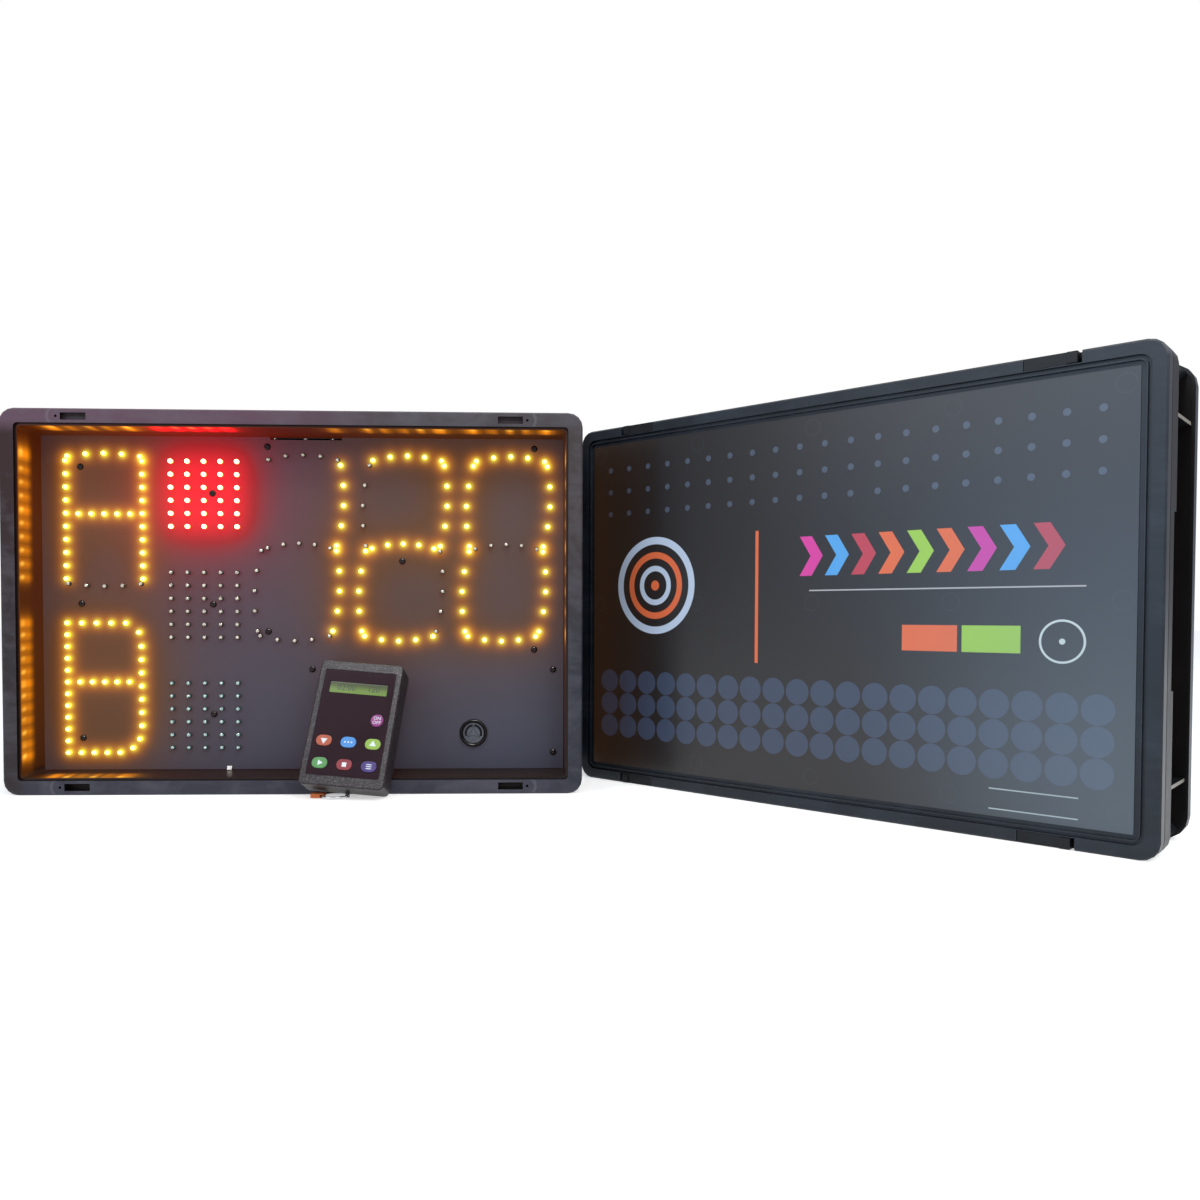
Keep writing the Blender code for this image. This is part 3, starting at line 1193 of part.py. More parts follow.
def build_remote(stand):
    half = REMOTE_WIDTH / 2
    front = -REMOTE_THICKNESS
    parting = front / 2
    case = rounded_block((-half, front, 0.0), (half, parting, REMOTE_LENGTH), REMOTE_CORNER, REMOTE_EDGE_ROUND)
    front_case = add_part("remote_front_case", case, "remote_black", stand)
    middle = (0.0, REMOTE_LENGTH / 2)
    inner_corner = REMOTE_CORNER - REMOTE_WALL
    inner_loop = rounded_loop(
        REMOTE_WIDTH - 2 * REMOTE_WALL, REMOTE_LENGTH - 2 * REMOTE_WALL, inner_corner, middle)
    face_back = front + REMOTE_OVERLAY_SINK + REMOTE_WALL
    hollow = upright_sheet([inner_loop], face_back, REMOTE_WALL)
    overlay_height = REMOTE_LENGTH - 2 * REMOTE_OVERLAY_FROM_END
    overlay_middle = (0.0, REMOTE_LENGTH / 2)
    clear = REMOTE_OVERLAY_CLEARANCE
    recess_width = REMOTE_OVERLAY_WIDTH + 2 * clear
    recess = upright_sheet(
        [rounded_loop(recess_width, overlay_height + 2 * clear, REMOTE_WALL / 2, overlay_middle, 2)],
        front - REMOTE_WALL,
        front + REMOTE_OVERLAY_SINK,
    )
    window_loop = rounded_loop(LCD_WIDTH, LCD_HEIGHT, REMOTE_WALL / 4, (0.0, lcd_z()), 1)
    window = upright_sheet([window_loop], front - REMOTE_WALL, face_back + REMOTE_WALL)
    holes = [
        upright_sheet([key_loop(name, place, KEY_CLEARANCE)], front - REMOTE_WALL, face_back + REMOTE_WALL)
        for name, _, place in remote_keys()
    ]
    combine(front_case, add_tool("remote_hollow", hollow, stand), "DIFFERENCE")
    combine(front_case, add_tool("remote_recess", recess, stand), "DIFFERENCE")
    combine(front_case, add_tool("remote_window", window, stand), "DIFFERENCE")
    combine(front_case, add_tool("remote_key_holes", joined("key_holes", holes), stand), "DIFFERENCE")

    back_block = rounded_block(
        (-half, parting + TOUCH, 0.0), (half, 0.0, REMOTE_LENGTH), REMOTE_CORNER)
    back_case = add_part("remote_back_case", back_block, "remote_black", stand)
    back_hollow = upright_sheet([inner_loop], parting - REMOTE_WALL, -REMOTE_WALL)
    combine(back_case, add_tool("remote_back_hollow", back_hollow, stand), "DIFFERENCE")
    wells = bmesh.new()
    for side_x in (-1, 1):
        for level in (CASE_SCREW_INSET, REMOTE_LENGTH - CASE_SCREW_INSET):
            place = (side_x * (half - CASE_SCREW_INSET), level)
            cone_body(
                wells, CASE_SCREW_WELL_RADIUS, CASE_SCREW_WELL_RADIUS, -CASE_SCREW_WELL_DEPTH, REMOTE_WALL, place,
                SMALL_FACETS)
    combine(back_case, add_tool("remote_screw_wells", mesh_from(wells, "wells"), stand), "DIFFERENCE")
    build_battery_door(back_case, stand)
    combine(back_case, add_tool("remote_ring_lug", lug_mesh(), stand), "UNION")

    overlay_front = front + REMOTE_OVERLAY_SINK - TOUCH - REMOTE_OVERLAY_THICKNESS
    loops = [rounded_loop(REMOTE_OVERLAY_WIDTH, overlay_height, REMOTE_WALL / 2, overlay_middle, 2)]
    loops.append(window_loop)
    loops += [key_loop(name, place, KEY_CLEARANCE) for name, _, place in remote_keys()]
    overlay = upright_sheet(loops, overlay_front, overlay_front + REMOTE_OVERLAY_THICKNESS)
    add_part("remote_overlay", overlay, "overlay_black", stand)

    window_pane = rounded_loop(LCD_WIDTH - 2 * TOUCH, LCD_HEIGHT - 2 * TOUCH, REMOTE_WALL / 4, (0.0, lcd_z()), 1)
    pane_front = front + REMOTE_OVERLAY_SINK
    pane = upright_sheet([window_pane], pane_front, pane_front + LCD_WINDOW_THICKNESS)
    add_part("remote_lcd_window", pane, "lcd_green", stand)
    lcd_front = face_back + TOUCH
    lcd_half = LCD_WIDTH / 2 + LCD_MODULE_MARGIN
    lcd_rise = LCD_HEIGHT / 2 + LCD_MODULE_MARGIN
    module = box(
        (-lcd_half, lcd_front, lcd_z() - lcd_rise), (lcd_half, lcd_front + LCD_MODULE_THICKNESS, lcd_z() + lcd_rise))
    add_part("remote_lcd_module", module, "board_green", stand)

    board_face = lcd_front + LCD_MODULE_THICKNESS + TOUCH
    inner_half = half - REMOTE_WALL - 4 * TOUCH
    board_low = CASE_SCREW_INSET + 2 * REMOTE_WALL
    board = upright_sheet(
        [rounded_loop(
            2 * inner_half, REMOTE_LENGTH - 2 * board_low, REMOTE_WALL / 2, middle, 2)],
        board_face,
        board_face + REMOTE_BOARD_THICKNESS,
    )
    add_part("remote_board", board, "board_green", stand)
    cell_width, cell_depth, cell_height = REMOTE_BATTERY
    cell_back = -REMOTE_WALL - TOUCH
    cell_low = REMOTE_LENGTH / 2 - cell_height / 2
    cell = rounded_block(
        (-cell_width / 2, cell_back - cell_depth, cell_low),
        (cell_width / 2, cell_back, cell_low + cell_height),
        REMOTE_WALL,
        facets=1,
    )
    add_part("remote_battery", cell, "battery_blue", stand)
    for name, finish, place in remote_keys():
        key_front = overlay_front - KEY_RISE
        key_back = min(key_front + KEY_LENGTH, board_face - KEY_TRAVEL - TOUCH)
        key = upright_sheet([key_loop(name, place, 0.0)], key_front, key_back)
        add_part("remote_" + name, key, finish, stand)


def build_battery_door(back_case, stand):
    """A door flush with the back: it slides towards the remote's top to free its tabs."""
    seat = -DOOR_THICKNESS - TOUCH
    half = DOOR_WIDTH / 2
    recess = box(
        (-half - TOUCH, seat, DOOR_LOW - TOUCH),
        (half + TOUCH, REMOTE_WALL, DOOR_LOW + DOOR_LENGTH + DOOR_TRAVEL + TOUCH),
    )
    bay = box(
        (-half + REMOTE_WALL, -2 * REMOTE_WALL, DOOR_LOW + REMOTE_WALL + DOOR_TRAVEL),
        (half - REMOTE_WALL, seat / 2, DOOR_LOW + DOOR_LENGTH - REMOTE_WALL),
    )
    combine(back_case, add_tool("remote_door_recess", recess, stand), "DIFFERENCE")
    combine(back_case, add_tool("remote_battery_bay", bay, stand), "DIFFERENCE")
    plate = box((-half, -DOOR_THICKNESS, DOOR_LOW), (half, 0.0, DOOR_LOW + DOOR_LENGTH))
    door = add_part("remote_battery_door", plate, "remote_black", stand)
    grips = []
    for step in range(3):
        level = DOOR_LOW + DOOR_LENGTH / 5 + step * 2 * DOOR_TRAVEL / 3
        grips.append(box(
            (-half / 3, -DOOR_GRIP_DEPTH, level),
            (half / 3, REMOTE_WALL, level + DOOR_TRAVEL / 3),
        ))
    combine(door, add_tool("remote_door_grips", joined("grips", grips), stand), "DIFFERENCE")


def remote_turn():
    """Turn about the length, then the lean, then the yaw."""
    spin = Matrix.Rotation(REMOTE_SPIN, 4, "Y")
    lean = Matrix.Rotation(-REMOTE_LEAN, 4, "X")
    yaw = Matrix.Rotation(REMOTE_YAW, 4, "Z")
    return yaw @ lean @ spin


def remote_place():
    """Middle of its lower back edge: the lowest corner is on the table, the back leans on the panel, unless the ring meets the rim."""
    across, _, along = remote_turn().to_3x3().row[2]
    reach = abs(across) * (REMOTE_WIDTH / 2 - REMOTE_CORNER)
    height = reach - along * REMOTE_CORNER + REMOTE_CORNER * math.hypot(across, along)
    turn = remote_turn().to_3x3()
    top = max((turn @ Vector((side * REMOTE_WIDTH / 2, 0.0, REMOTE_LENGTH))).y for side in (-1, 1))
    by_panel = PANEL_DEPTH - REMOTE_FROM_PANEL - top
    by_rim = RING_IN_FRONT - RING_RADIUS - RING_WIRE - TOUCH
    return Vector((REMOTE_X, OPEN_FRONT_Y + min(by_panel, by_rim), height))


def ring_place():
    return remote_place().xy.to_3d() - Vector((RING_ASIDE, RING_IN_FRONT, 0.0))


def lug_mesh():
    """Eye on the remote's lower end; the ring's wire runs through it."""
    to_world = Matrix.Translation(ring_place() + Vector((RING_RADIUS, 0.0, 0.0)))
    place = Matrix.Translation(remote_place()) @ remote_turn()
    normal = place.to_3x3() @ Vector((0.0, 0.0, 1.0))
    from_end = to_world.translation - remote_place()
    end_height = remote_place().z - (normal.x * from_end.x + normal.y * from_end.y) / normal.z
    hole = RING_WIRE + LUG_CLEARANCE
    low = RING_LEVEL - hole - LUG_WALL
    high = end_height + REMOTE_WALL * 0.8
    outline = rounded_loop(2 * (hole + LUG_WALL), high - low, LUG_WALL, (0.0, (high + low) / 2), 2)
    eye = circle_loop(hole, (0.0, RING_LEVEL), SMALL_FACETS)
    mesh = upright_sheet([outline, eye], -LUG_WIDTH / 2, LUG_WIDTH / 2)
    mesh.transform(place.inverted() @ to_world)
    return mesh


def build_key_ring(stand):
    """Steel ring under the remote's lower end, and the folded tag that lies on the table and holds it up."""
    bpy.ops.mesh.primitive_torus_add(
        major_segments=RING_FACETS,
        minor_segments=6,
        major_radius=RING_RADIUS,
        minor_radius=RING_WIRE,
        location=(0.0, 0.0, 0.0),
    )
    torus = bpy.context.object
    mesh = torus.data
    bpy.data.objects.remove(torus, do_unlink=True)
    ring = add_part("remote_key_ring", mesh, "steel", stand, smooth=True)
    ring.location = (0.0, 0.0, RING_LEVEL)
    hole = RING_WIRE + LUG_CLEARANCE
    ring_bow = RING_RADIUS - math.sqrt(RING_RADIUS**2 - (TAG_WIDTH / 2) ** 2)
    right = -RING_RADIUS + ring_bow + hole + LUG_WALL
    middle = (right - TAG_LENGTH / 2, TOUCH + TAG_HEIGHT / 2)
    loops = [
        rounded_loop(TAG_LENGTH, TAG_HEIGHT, TAG_HEIGHT / 3, middle, 3),
        rounded_loop(2 * hole + ring_bow, 2 * hole, hole / 2, (ring_bow / 2 - RING_RADIUS, RING_LEVEL), 1),
    ]
    tag = upright_sheet(loops, -TAG_WIDTH / 2, TAG_WIDTH / 2)
    add_part("remote_key_tag", tag, "orange_tag", stand)


PARTS = make_collection("archery_countdown_timer")
TOOLS = make_collection("cutters")


def build():
    open_stand = make_stand("open_display", (0.0, OPEN_FRONT_Y, 0.0), (0.0, 0.0, 0.0))
    build_open_display(open_stand)
    lid_corner = Vector((CRATE_WIDTH / 2 + CLOSED_CORNER_ASIDE, OPEN_FRONT_Y + CLOSED_CORNER_FROM_RIM, 0.0))
    from_corner = Vector((CRATE_WIDTH / 2, LID_THICKNESS + TOUCH, 0.0))
    closed_place = lid_corner + Matrix.Rotation(CLOSED_TURN, 3, "Z") @ from_corner
    closed_stand = make_stand("closed_display", closed_place, (0.0, 0.0, CLOSED_TURN))
    build_closed_display(closed_stand)
    remote_stand = make_stand("remote", remote_place(), (-REMOTE_LEAN, REMOTE_SPIN, REMOTE_YAW))
    build_remote(remote_stand)
    build_key_ring(make_stand("key_ring", ring_place(), (0.0, 0.0, 0.0)))


clear_scene()
MATERIALS = make_materials()
build()
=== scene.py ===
"""Archery countdown timer: an open and a closed LED display in stacking crates, and a handheld remote."""
import math

import bmesh
import bpy
import numpy as np
from mathutils import Matrix, Vector


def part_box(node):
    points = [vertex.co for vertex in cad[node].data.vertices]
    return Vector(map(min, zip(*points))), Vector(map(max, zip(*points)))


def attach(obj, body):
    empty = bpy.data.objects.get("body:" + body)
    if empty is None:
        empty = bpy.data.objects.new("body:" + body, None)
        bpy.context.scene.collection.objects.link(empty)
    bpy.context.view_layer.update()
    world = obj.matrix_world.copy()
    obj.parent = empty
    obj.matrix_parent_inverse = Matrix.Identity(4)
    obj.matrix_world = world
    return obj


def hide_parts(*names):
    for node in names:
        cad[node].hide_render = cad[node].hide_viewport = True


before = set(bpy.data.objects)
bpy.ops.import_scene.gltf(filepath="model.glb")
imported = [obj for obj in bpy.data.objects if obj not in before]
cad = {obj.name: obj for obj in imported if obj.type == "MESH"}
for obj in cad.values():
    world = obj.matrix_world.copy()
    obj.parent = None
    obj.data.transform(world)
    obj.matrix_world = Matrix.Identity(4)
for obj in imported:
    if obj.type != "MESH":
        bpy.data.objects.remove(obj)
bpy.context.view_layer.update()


# Camera. It stands a metre in front of the open display's right half, a hand's breadth and a half
# above the table, and looks level; a small upward shift frames the two displays.
def placed(name, data):
    """A new object for this mesh, text, lamp or camera."""
    made = bpy.data.objects.new(name, data)
    bpy.context.scene.collection.objects.link(made)
    return made


camera = placed("camera", bpy.data.cameras.new("camera"))
camera.data.sensor_width = 36.0
camera.data.lens = 29.015
camera.data.shift_x = 0.00254
camera.data.shift_y = 0.035
camera.data.clip_start = 0.02
camera.matrix_world = (
    Matrix.Translation((0.2806, -1.0284, 0.1879))
    @ Matrix.Rotation(math.radians(-1.96), 4, "Z")
    @ Matrix.Rotation(math.radians(90.0 - 1.553), 4, "X")
    @ Matrix.Rotation(math.radians(0.148), 4, "Z")
)
bpy.context.scene.camera = camera
bpy.context.scene.view_settings.view_transform = "Standard"


# Studio: a pale floor that runs out of sight, an even pale surround, and two large soft lamps. The
# camera sees the surround as white; gloss mirrors a room with a bluish window at the front left.
def add_node(tree, kind, links=None, **settings):
    """A shader node with its settings, and its sockets linked to a socket or set to a value."""
    made = tree.nodes.new("ShaderNode" + kind)
    for key, value in settings.items():
        setattr(made, key, value)
    for socket, source in (links or {}).items():
        if isinstance(source, bpy.types.NodeSocket):
            tree.links.new(source, made.inputs[socket])
        else:
            made.inputs[socket].default_value = source
    return made


def calc(operation, a, b=0.0, c=0.0):
    """One math node in the tree that is being wired."""
    return add_node(tree, "Math", {0: a, 1: b, 2: c}, operation=operation).outputs[0]


def rising(value, start, end, ease="SMOOTHSTEP"):
    """0 to 1 between two values, in the tree that is being wired."""
    limits = {"Value": value, "From Min": start, "From Max": end}
    return add_node(tree, "MapRange", limits, interpolation_type=ease).outputs[0]


def blend(share, under, over):
    """A share of one colour over another, in the tree that is being wired."""
    return add_node(tree, "Mix", {"Factor": share, 6: under, 7: over}, data_type="RGBA").outputs[2]


def new_finish(name):
    """A new material, its node tree and its shader."""
    finish = bpy.data.materials.new(name)
    finish.use_nodes = True
    return finish, finish.node_tree, finish.node_tree.nodes["Principled BSDF"]


world = bpy.data.worlds.new("surround")
bpy.context.scene.world = world
world.use_nodes = True
tree = world.node_tree
tree.nodes.clear()
way = add_node(tree, "TexCoord").outputs["Generated"]


def towards(direction, wide, narrow):
    """1 along a direction of the surround, falling to 0 away from it; both limits in degrees."""
    along = add_node(tree, "VectorMath", {0: way, 1: Vector(direction).normalized()}, operation="DOT_PRODUCT")
    return rising(along.outputs["Value"], math.cos(math.radians(wide)), math.cos(math.radians(narrow)))


room = (0.34, 0.33, 0.36, 1.0)
for direction, wide, narrow, shade in (
    ((0.0, 0.1, 1.0), 80.0, 25.0, (1.10, 1.12, 1.20, 1.0)),
    ((-1.0, 0.12, 0.0), 32.0, 6.0, (0.16, 0.09, 0.05, 1.0)),
    ((-0.80, -0.64, 0.0), 26.0, 4.0, (1.45, 2.15, 3.10, 1.0)),
    ((0.25, -1.0, 0.1), 50.0, 10.0, (0.75, 0.78, 0.95, 1.0)),
):
    room = blend(towards(direction, wide, narrow), room, shade)
path = add_node(tree, "LightPath").outputs
soft = add_node(tree, "Background", {"Color": (0.86, 0.92, 1.0, 1.0), "Strength": 0.50})
mirrored = add_node(tree, "Background", {"Color": room, "Strength": 1.0})
white = add_node(tree, "Background", {"Color": (1.0, 1.0, 1.0, 1.0), "Strength": 1.0})
lit = add_node(tree, "MixShader", {0: path["Is Glossy Ray"], 1: soft.outputs[0], 2: mirrored.outputs[0]})
plain = calc("MAXIMUM", path["Is Camera Ray"], path["Is Transmission Ray"])
choice = add_node(tree, "MixShader", {0: plain, 1: lit.outputs[0], 2: white.outputs[0]})
add_node(tree, "OutputWorld", {0: choice.outputs[0]})

bpy.ops.mesh.primitive_plane_add(size=24.0, location=(0.0, 0.0, -0.0002))
floor = bpy.context.object
floor.name = "floor"
paper, tree, shader = new_finish("pale_floor")
shader.inputs["Base Color"].default_value = (0.93, 0.93, 0.93, 1.0)
shader.inputs["Roughness"].default_value = 0.9
shader.inputs["Specular IOR Level"].default_value = 0.1
shader.inputs["Emission Color"].default_value = (1.0, 1.0, 1.0, 1.0)
# The floor is whitened where it is looked at, mirrored or seen through glass, and lights nothing itself
path = add_node(tree, "LightPath").outputs
seen = calc("MAXIMUM", path["Is Camera Ray"], path["Is Glossy Ray"])
seen = calc("MAXIMUM", seen, path["Is Transmission Ray"])
tree.links.new(calc("MULTIPLY", seen, 0.48), shader.inputs["Emission Strength"])
floor.data.materials.append(paper)

for name, place, aim, size, power, tint in (
    ("key_lamp", (1.9, -2.1, 2.3), (0.35, 0.0, 0.2), 2.2, 62.0, (1.0, 0.99, 0.97)),
    ("fill_lamp", (-2.0, -1.8, 1.9), (0.1, 0.0, 0.2), 2.4, 30.0, (0.95, 0.97, 1.0)),
    ("glint_lamp", (0.2, -0.9, 1.9), (0.1, 0.0, 0.2), 0.6, 90.0, (1.0, 1.0, 1.0)),
):
    lamp = bpy.data.lights.new(name, "AREA")
    lamp.energy = power
    lamp.size = size
    lamp.color = tint
    holder = placed(name, lamp)
    holder.location = place
    holder.rotation_euler = (Vector(aim) - Vector(place)).to_track_quat("-Z", "Y").to_euler()
    holder.visible_diffuse = name != "glint_lamp"


# Stacking crates, one under each display: black moulded polypropylene, scuffed on the rim that other
# crates stand on, glossier inside. The open one stands square; the closed one is turned beside it.
open_stand = Matrix.Translation((0.0, -0.0105, 0.0))
closed_stand = Matrix.Translation((0.526126, -0.095915, 0.0)) @ Matrix.Rotation(math.radians(-43.66), 4, "Z")
MIDDLE_LEVEL = 0.2


def alone(*pieces):
    """Selects these objects and nothing else, with the first one active."""
    bpy.ops.object.select_all(action="DESELECT")
    for piece in pieces:
        piece.select_set(True)
    bpy.context.view_layer.objects.active = pieces[0]


def pick_faces(piece, wanted):
    """Selects only the faces that wanted() tells, and goes to edit mode."""
    alone(piece)
    bpy.ops.object.mode_set(mode="EDIT")
    bpy.ops.mesh.select_mode(type="FACE")
    bpy.ops.mesh.select_all(action="DESELECT")
    bpy.ops.object.mode_set(mode="OBJECT")
    for face in piece.data.polygons:
        face.select = bool(wanted(face))
    bpy.ops.object.mode_set(mode="EDIT")


def copy_solid(cad_name, name):
    """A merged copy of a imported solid, its flat areas joined to single faces, ready for finer edges."""
    piece = placed(name, cad[cad_name].data.copy())
    piece.data.name = name
    piece.data.materials.clear()
    alone(piece)
    bpy.ops.mesh.customdata_custom_splitnormals_clear()
    bpy.ops.object.mode_set(mode="EDIT")
    bpy.ops.mesh.select_all(action="SELECT")
    bpy.ops.mesh.remove_doubles(threshold=0.00002)
    bpy.ops.mesh.dissolve_limited(angle_limit=math.radians(0.4))
    bpy.ops.object.mode_set(mode="OBJECT")
    return piece


def settle_shading(piece, angle=35.0):
    """Smooth over soft bends only, with flat faces kept flat."""
    alone(piece)
    bpy.ops.object.shade_smooth_by_angle(angle=math.radians(angle))
    flat = piece.modifiers.new("flat_faces", "WEIGHTED_NORMAL")
    flat.keep_sharp = True
    bpy.ops.object.modifier_apply(modifier=flat.name)


def round_edges(piece, width, segments=2, angle=35.0):
    """A small radius on every sharp edge."""
    alone(piece)
    bevel = piece.modifiers.new("edge_radius", "BEVEL")
    bevel.width = width
    bevel.segments = segments
    bevel.limit_method = "ANGLE"
    bevel.angle_limit = math.radians(angle)
    bevel.use_clamp_overlap = True
    bpy.ops.object.modifier_apply(modifier=bevel.name)
    settle_shading(piece, angle)
    return piece


def paint_faces(piece, finishes, choose, stand=Matrix.Identity(4)):
    """Gives each face one of the finishes, by its place and direction in its unit's own axes."""
    piece.data.materials.clear()
    for finish in finishes:
        piece.data.materials.append(finish)
    back = stand.inverted()
    turn = back.to_3x3()
    for face in piece.data.polygons:
        face.material_index = choose(back @ face.center, turn @ face.normal)


def effect_group(name, inputs, outputs):
    """A new shader node group with its named sockets, and its input and output nodes."""
    group = bpy.data.node_groups.new(name, "ShaderNodeTree")
    for label, kind, value in inputs:
        group.interface.new_socket(label, in_out="INPUT", socket_type=kind).default_value = value
    for label, kind in outputs:
        group.interface.new_socket(label, in_out="OUTPUT", socket_type=kind)
    return group, group.nodes.new("NodeGroupInput"), group.nodes.new("NodeGroupOutput")


# Moulded plastic: spark-eroded grain, and pale scuffs where the crate was handled
moulded, taken, given = effect_group(
    "moulded_plastic",
    (
        ("Clean", "NodeSocketColor", (0.04, 0.04, 0.045, 1.0)),
        ("Worn", "NodeSocketColor", (0.16, 0.16, 0.18, 1.0)),
        ("Wear", "NodeSocketFloat", 0.3),
        ("Roughness", "NodeSocketFloat", 0.4),
        ("Grain", "NodeSocketFloat", 900.0),
        ("Stretch", "NodeSocketVector", (14.0, 30.0, 260.0)),
    ),
    (("Color", "NodeSocketColor"), ("Roughness", "NodeSocketFloat"), ("Height", "NodeSocketFloat")),
)
tree = moulded
where = add_node(tree, "TexCoord").outputs["Object"]
grain = add_node(tree, "TexNoise", {"Vector": where, "Scale": taken.outputs["Grain"], "Detail": 2.0})
patches = add_node(
    tree, "TexNoise",
    {"Vector": where, "Scale": 17.0, "Detail": 7.0, "Roughness": 0.62, "Distortion": 0.6}).outputs[0]
scratch_way = add_node(
    tree, "Mapping", {"Vector": where, "Scale": taken.outputs["Stretch"], "Rotation": (0.0, 0.02, 0.0)})
scratches = add_node(tree, "TexNoise", {"Vector": scratch_way.outputs[0], "Scale": 1.0, "Detail": 4.0})
scuffed = rising(calc("MULTIPLY_ADD", scratches.outputs[0], 0.35, patches), 0.60, 0.98, "LINEAR")
amount = calc("MULTIPLY", scuffed, taken.outputs["Wear"])
rub = add_node(
    tree, "MapRange", {"Value": patches, "From Min": 0.3, "From Max": 0.7, "To Min": -0.03, "To Max": 0.04})
for socket, made in (
    ("Color", blend(amount, taken.outputs["Clean"], taken.outputs["Worn"])),
    ("Roughness", calc("ADD", taken.outputs["Roughness"], rub.outputs[0])),
    ("Height", grain.outputs[0]),
):
    tree.links.new(made, given.inputs[socket])


def plastic(
    name, clean, worn_colour, wear, roughness, grain=900.0, depth=0.00002, gloss=0.5,
    stretch=(14.0, 30.0, 260.0),
):
    """A plastic finish from the moulding group; depth is the grain's height in metres."""
    finish, tree, shader = new_finish(name)
    group = tree.nodes.new("ShaderNodeGroup")
    group.node_tree = moulded
    for socket, value in (
        ("Clean", (*clean, 1.0)), ("Worn", (*worn_colour, 1.0)), ("Wear", wear),
        ("Roughness", roughness), ("Grain", grain), ("Stretch", stretch),
    ):
        group.inputs[socket].default_value = value
    bump = add_node(tree, "Bump", {"Height": group.outputs["Height"], "Distance": depth, "Strength": 1.0})
    tree.links.new(group.outputs["Color"], shader.inputs["Base Color"])
    tree.links.new(group.outputs["Roughness"], shader.inputs["Roughness"])
    tree.links.new(bump.outputs[0], shader.inputs["Normal"])
    shader.inputs["Specular IOR Level"].default_value = gloss
    return finish


def wiring(finish):
    """A plastic's node tree, its shader and its moulding group."""
    nodes = finish.node_tree.nodes
    return finish.node_tree, nodes["Principled BSDF"], next(n for n in nodes if n.type == "GROUP")


crate_wear = {"wear": 0.35, "roughness": 0.40, "grain": 700.0, "depth": 0.00003}
pocket_wear = {**crate_wear, "roughness": 0.45}
# The open crate's rim: real scuffs, with painted glow and painted reflection laid into its colour further
# down
rim_wear_and_painted_glow = plastic(
    "rim_wear_and_painted_glow", (0.03, 0.03, 0.04), (0.15, 0.15, 0.18), 0.40, 0.38, 700.0, 0.00003, gloss=0.20,
    stretch=(40.0, 30.0, 150.0))
crate_wall = plastic("crate_wall", (0.004, 0.005, 0.0065), (0.022, 0.027, 0.035), **crate_wear, gloss=0.22)
# Tray outside and back: lighter and bluer than the other walls, a painted reflection of the bright surround
crate_back_painted_sheen = plastic("crate_back_painted_sheen", (0.018, 0.026, 0.040), (0.045, 0.058, 0.078), **crate_wear, gloss=0.30)
# Rim-slot pockets: a lighter, pinker copy of one plastic for the top ones and a darker copy for the bottom
# ones, painted light above and painted shade below
pocket_top_painted_light = plastic("pocket_top_painted_light", (0.040, 0.026, 0.028), (0.08, 0.06, 0.06), **pocket_wear, gloss=0.3)
pocket_foot_painted_shade = plastic("pocket_foot_painted_shade", (0.013, 0.0065, 0.005), (0.04, 0.03, 0.03), **pocket_wear, gloss=0.2)
crate_inside = plastic(
    "crate_inside", (0.005, 0.0035, 0.003), (0.02, 0.014, 0.010), 0.15, 0.36, 400.0, 0.000004, gloss=0.22)
# Pale outer edges of the side ribs: a painted highlight
rib_edge_painted_highlight = plastic("rib_edge_painted_highlight", (0.20, 0.185, 0.155), (0.32, 0.30, 0.26), 0.6, 0.5)


def round_distance(x, z, middle_x=0.0, middle_z=0.0):
    """Distance from a middle, in the tree that is being wired."""
    dx = calc("SUBTRACT", x, middle_x)
    dz = calc("SUBTRACT", z, middle_z)
    return calc("SQRT", calc("MULTIPLY_ADD", dx, dx, calc("MULTIPLY", dz, dz)))


# The rim's colour carries painted light: a warm brown painted glow of the lamps towards its left end,
# a bluish painted reflection towards its right end, and a lighter band along its top that turns
# purple-red above the red block as painted glow. Outside each rim slot the mould left a pin hole and a pale
# arc
PIN_X = 0.2420
PIN_RISE = 0.1920
PIN_RADIUS = 0.0009
ARC_RADIUS = 0.0088
tree, shader, group = wiring(rim_wear_and_painted_glow)
x, _, z = add_node(tree, "SeparateXYZ", {0: add_node(tree, "TexCoord").outputs["Object"]}).outputs
left = blend(rising(z, 0.12, 0.36), (0.026, 0.020, 0.022, 1.0), (0.028, 0.010, 0.009, 1.0))
right = blend(rising(z, 0.10, 0.30), (0.028, 0.031, 0.042, 1.0), (0.044, 0.034, 0.033, 1.0))
top = blend(rising(x, -0.06, 0.14), (0.112, 0.062, 0.088, 1.0), (0.062, 0.054, 0.060, 1.0))
tone = blend(rising(x, -0.270, -0.290), (0.037, 0.037, 0.055, 1.0), left)
tone = blend(rising(x, 0.270, 0.290), tone, right)
tone = blend(rising(z, 0.372, 0.390), tone, top)
tree.links.new(tone, group.inputs["Clean"])
x = calc("ABSOLUTE", x)
z = calc("ABSOLUTE", calc("SUBTRACT", z, MIDDLE_LEVEL))
away = round_distance(x, z, PIN_X, PIN_RISE)
hole = rising(away, PIN_RADIUS + 0.0005, PIN_RADIUS, "LINEAR")
arc = rising(calc("ABSOLUTE", calc("SUBTRACT", away, ARC_RADIUS)), 0.0020, 0.0002, "LINEAR")
arc = calc("MULTIPLY", arc, rising(x, PIN_X + 0.003, PIN_X + 0.007, "LINEAR"))
pale = blend(calc("MULTIPLY", arc, 0.15), group.outputs["Color"], (0.34, 0.35, 0.39, 1.0))
tree.links.new(blend(hole, pale, (0.004, 0.004, 0.004, 1.0)), shader.inputs["Base Color"])

RIM_FACE_END = 0.0016
TRAY_HALF_WIDTH = 0.2855
TRAY_HALF_HEIGHT = 0.1855
TRAY_FLOOR = 0.1166
SIDE_RIB_LEVELS = (0.0515, 0.3485)
SIDE_RIB_EDGE = 0.2955
SKIRT_INSIDE = 0.2935
REAR_FLANGE = 0.0865


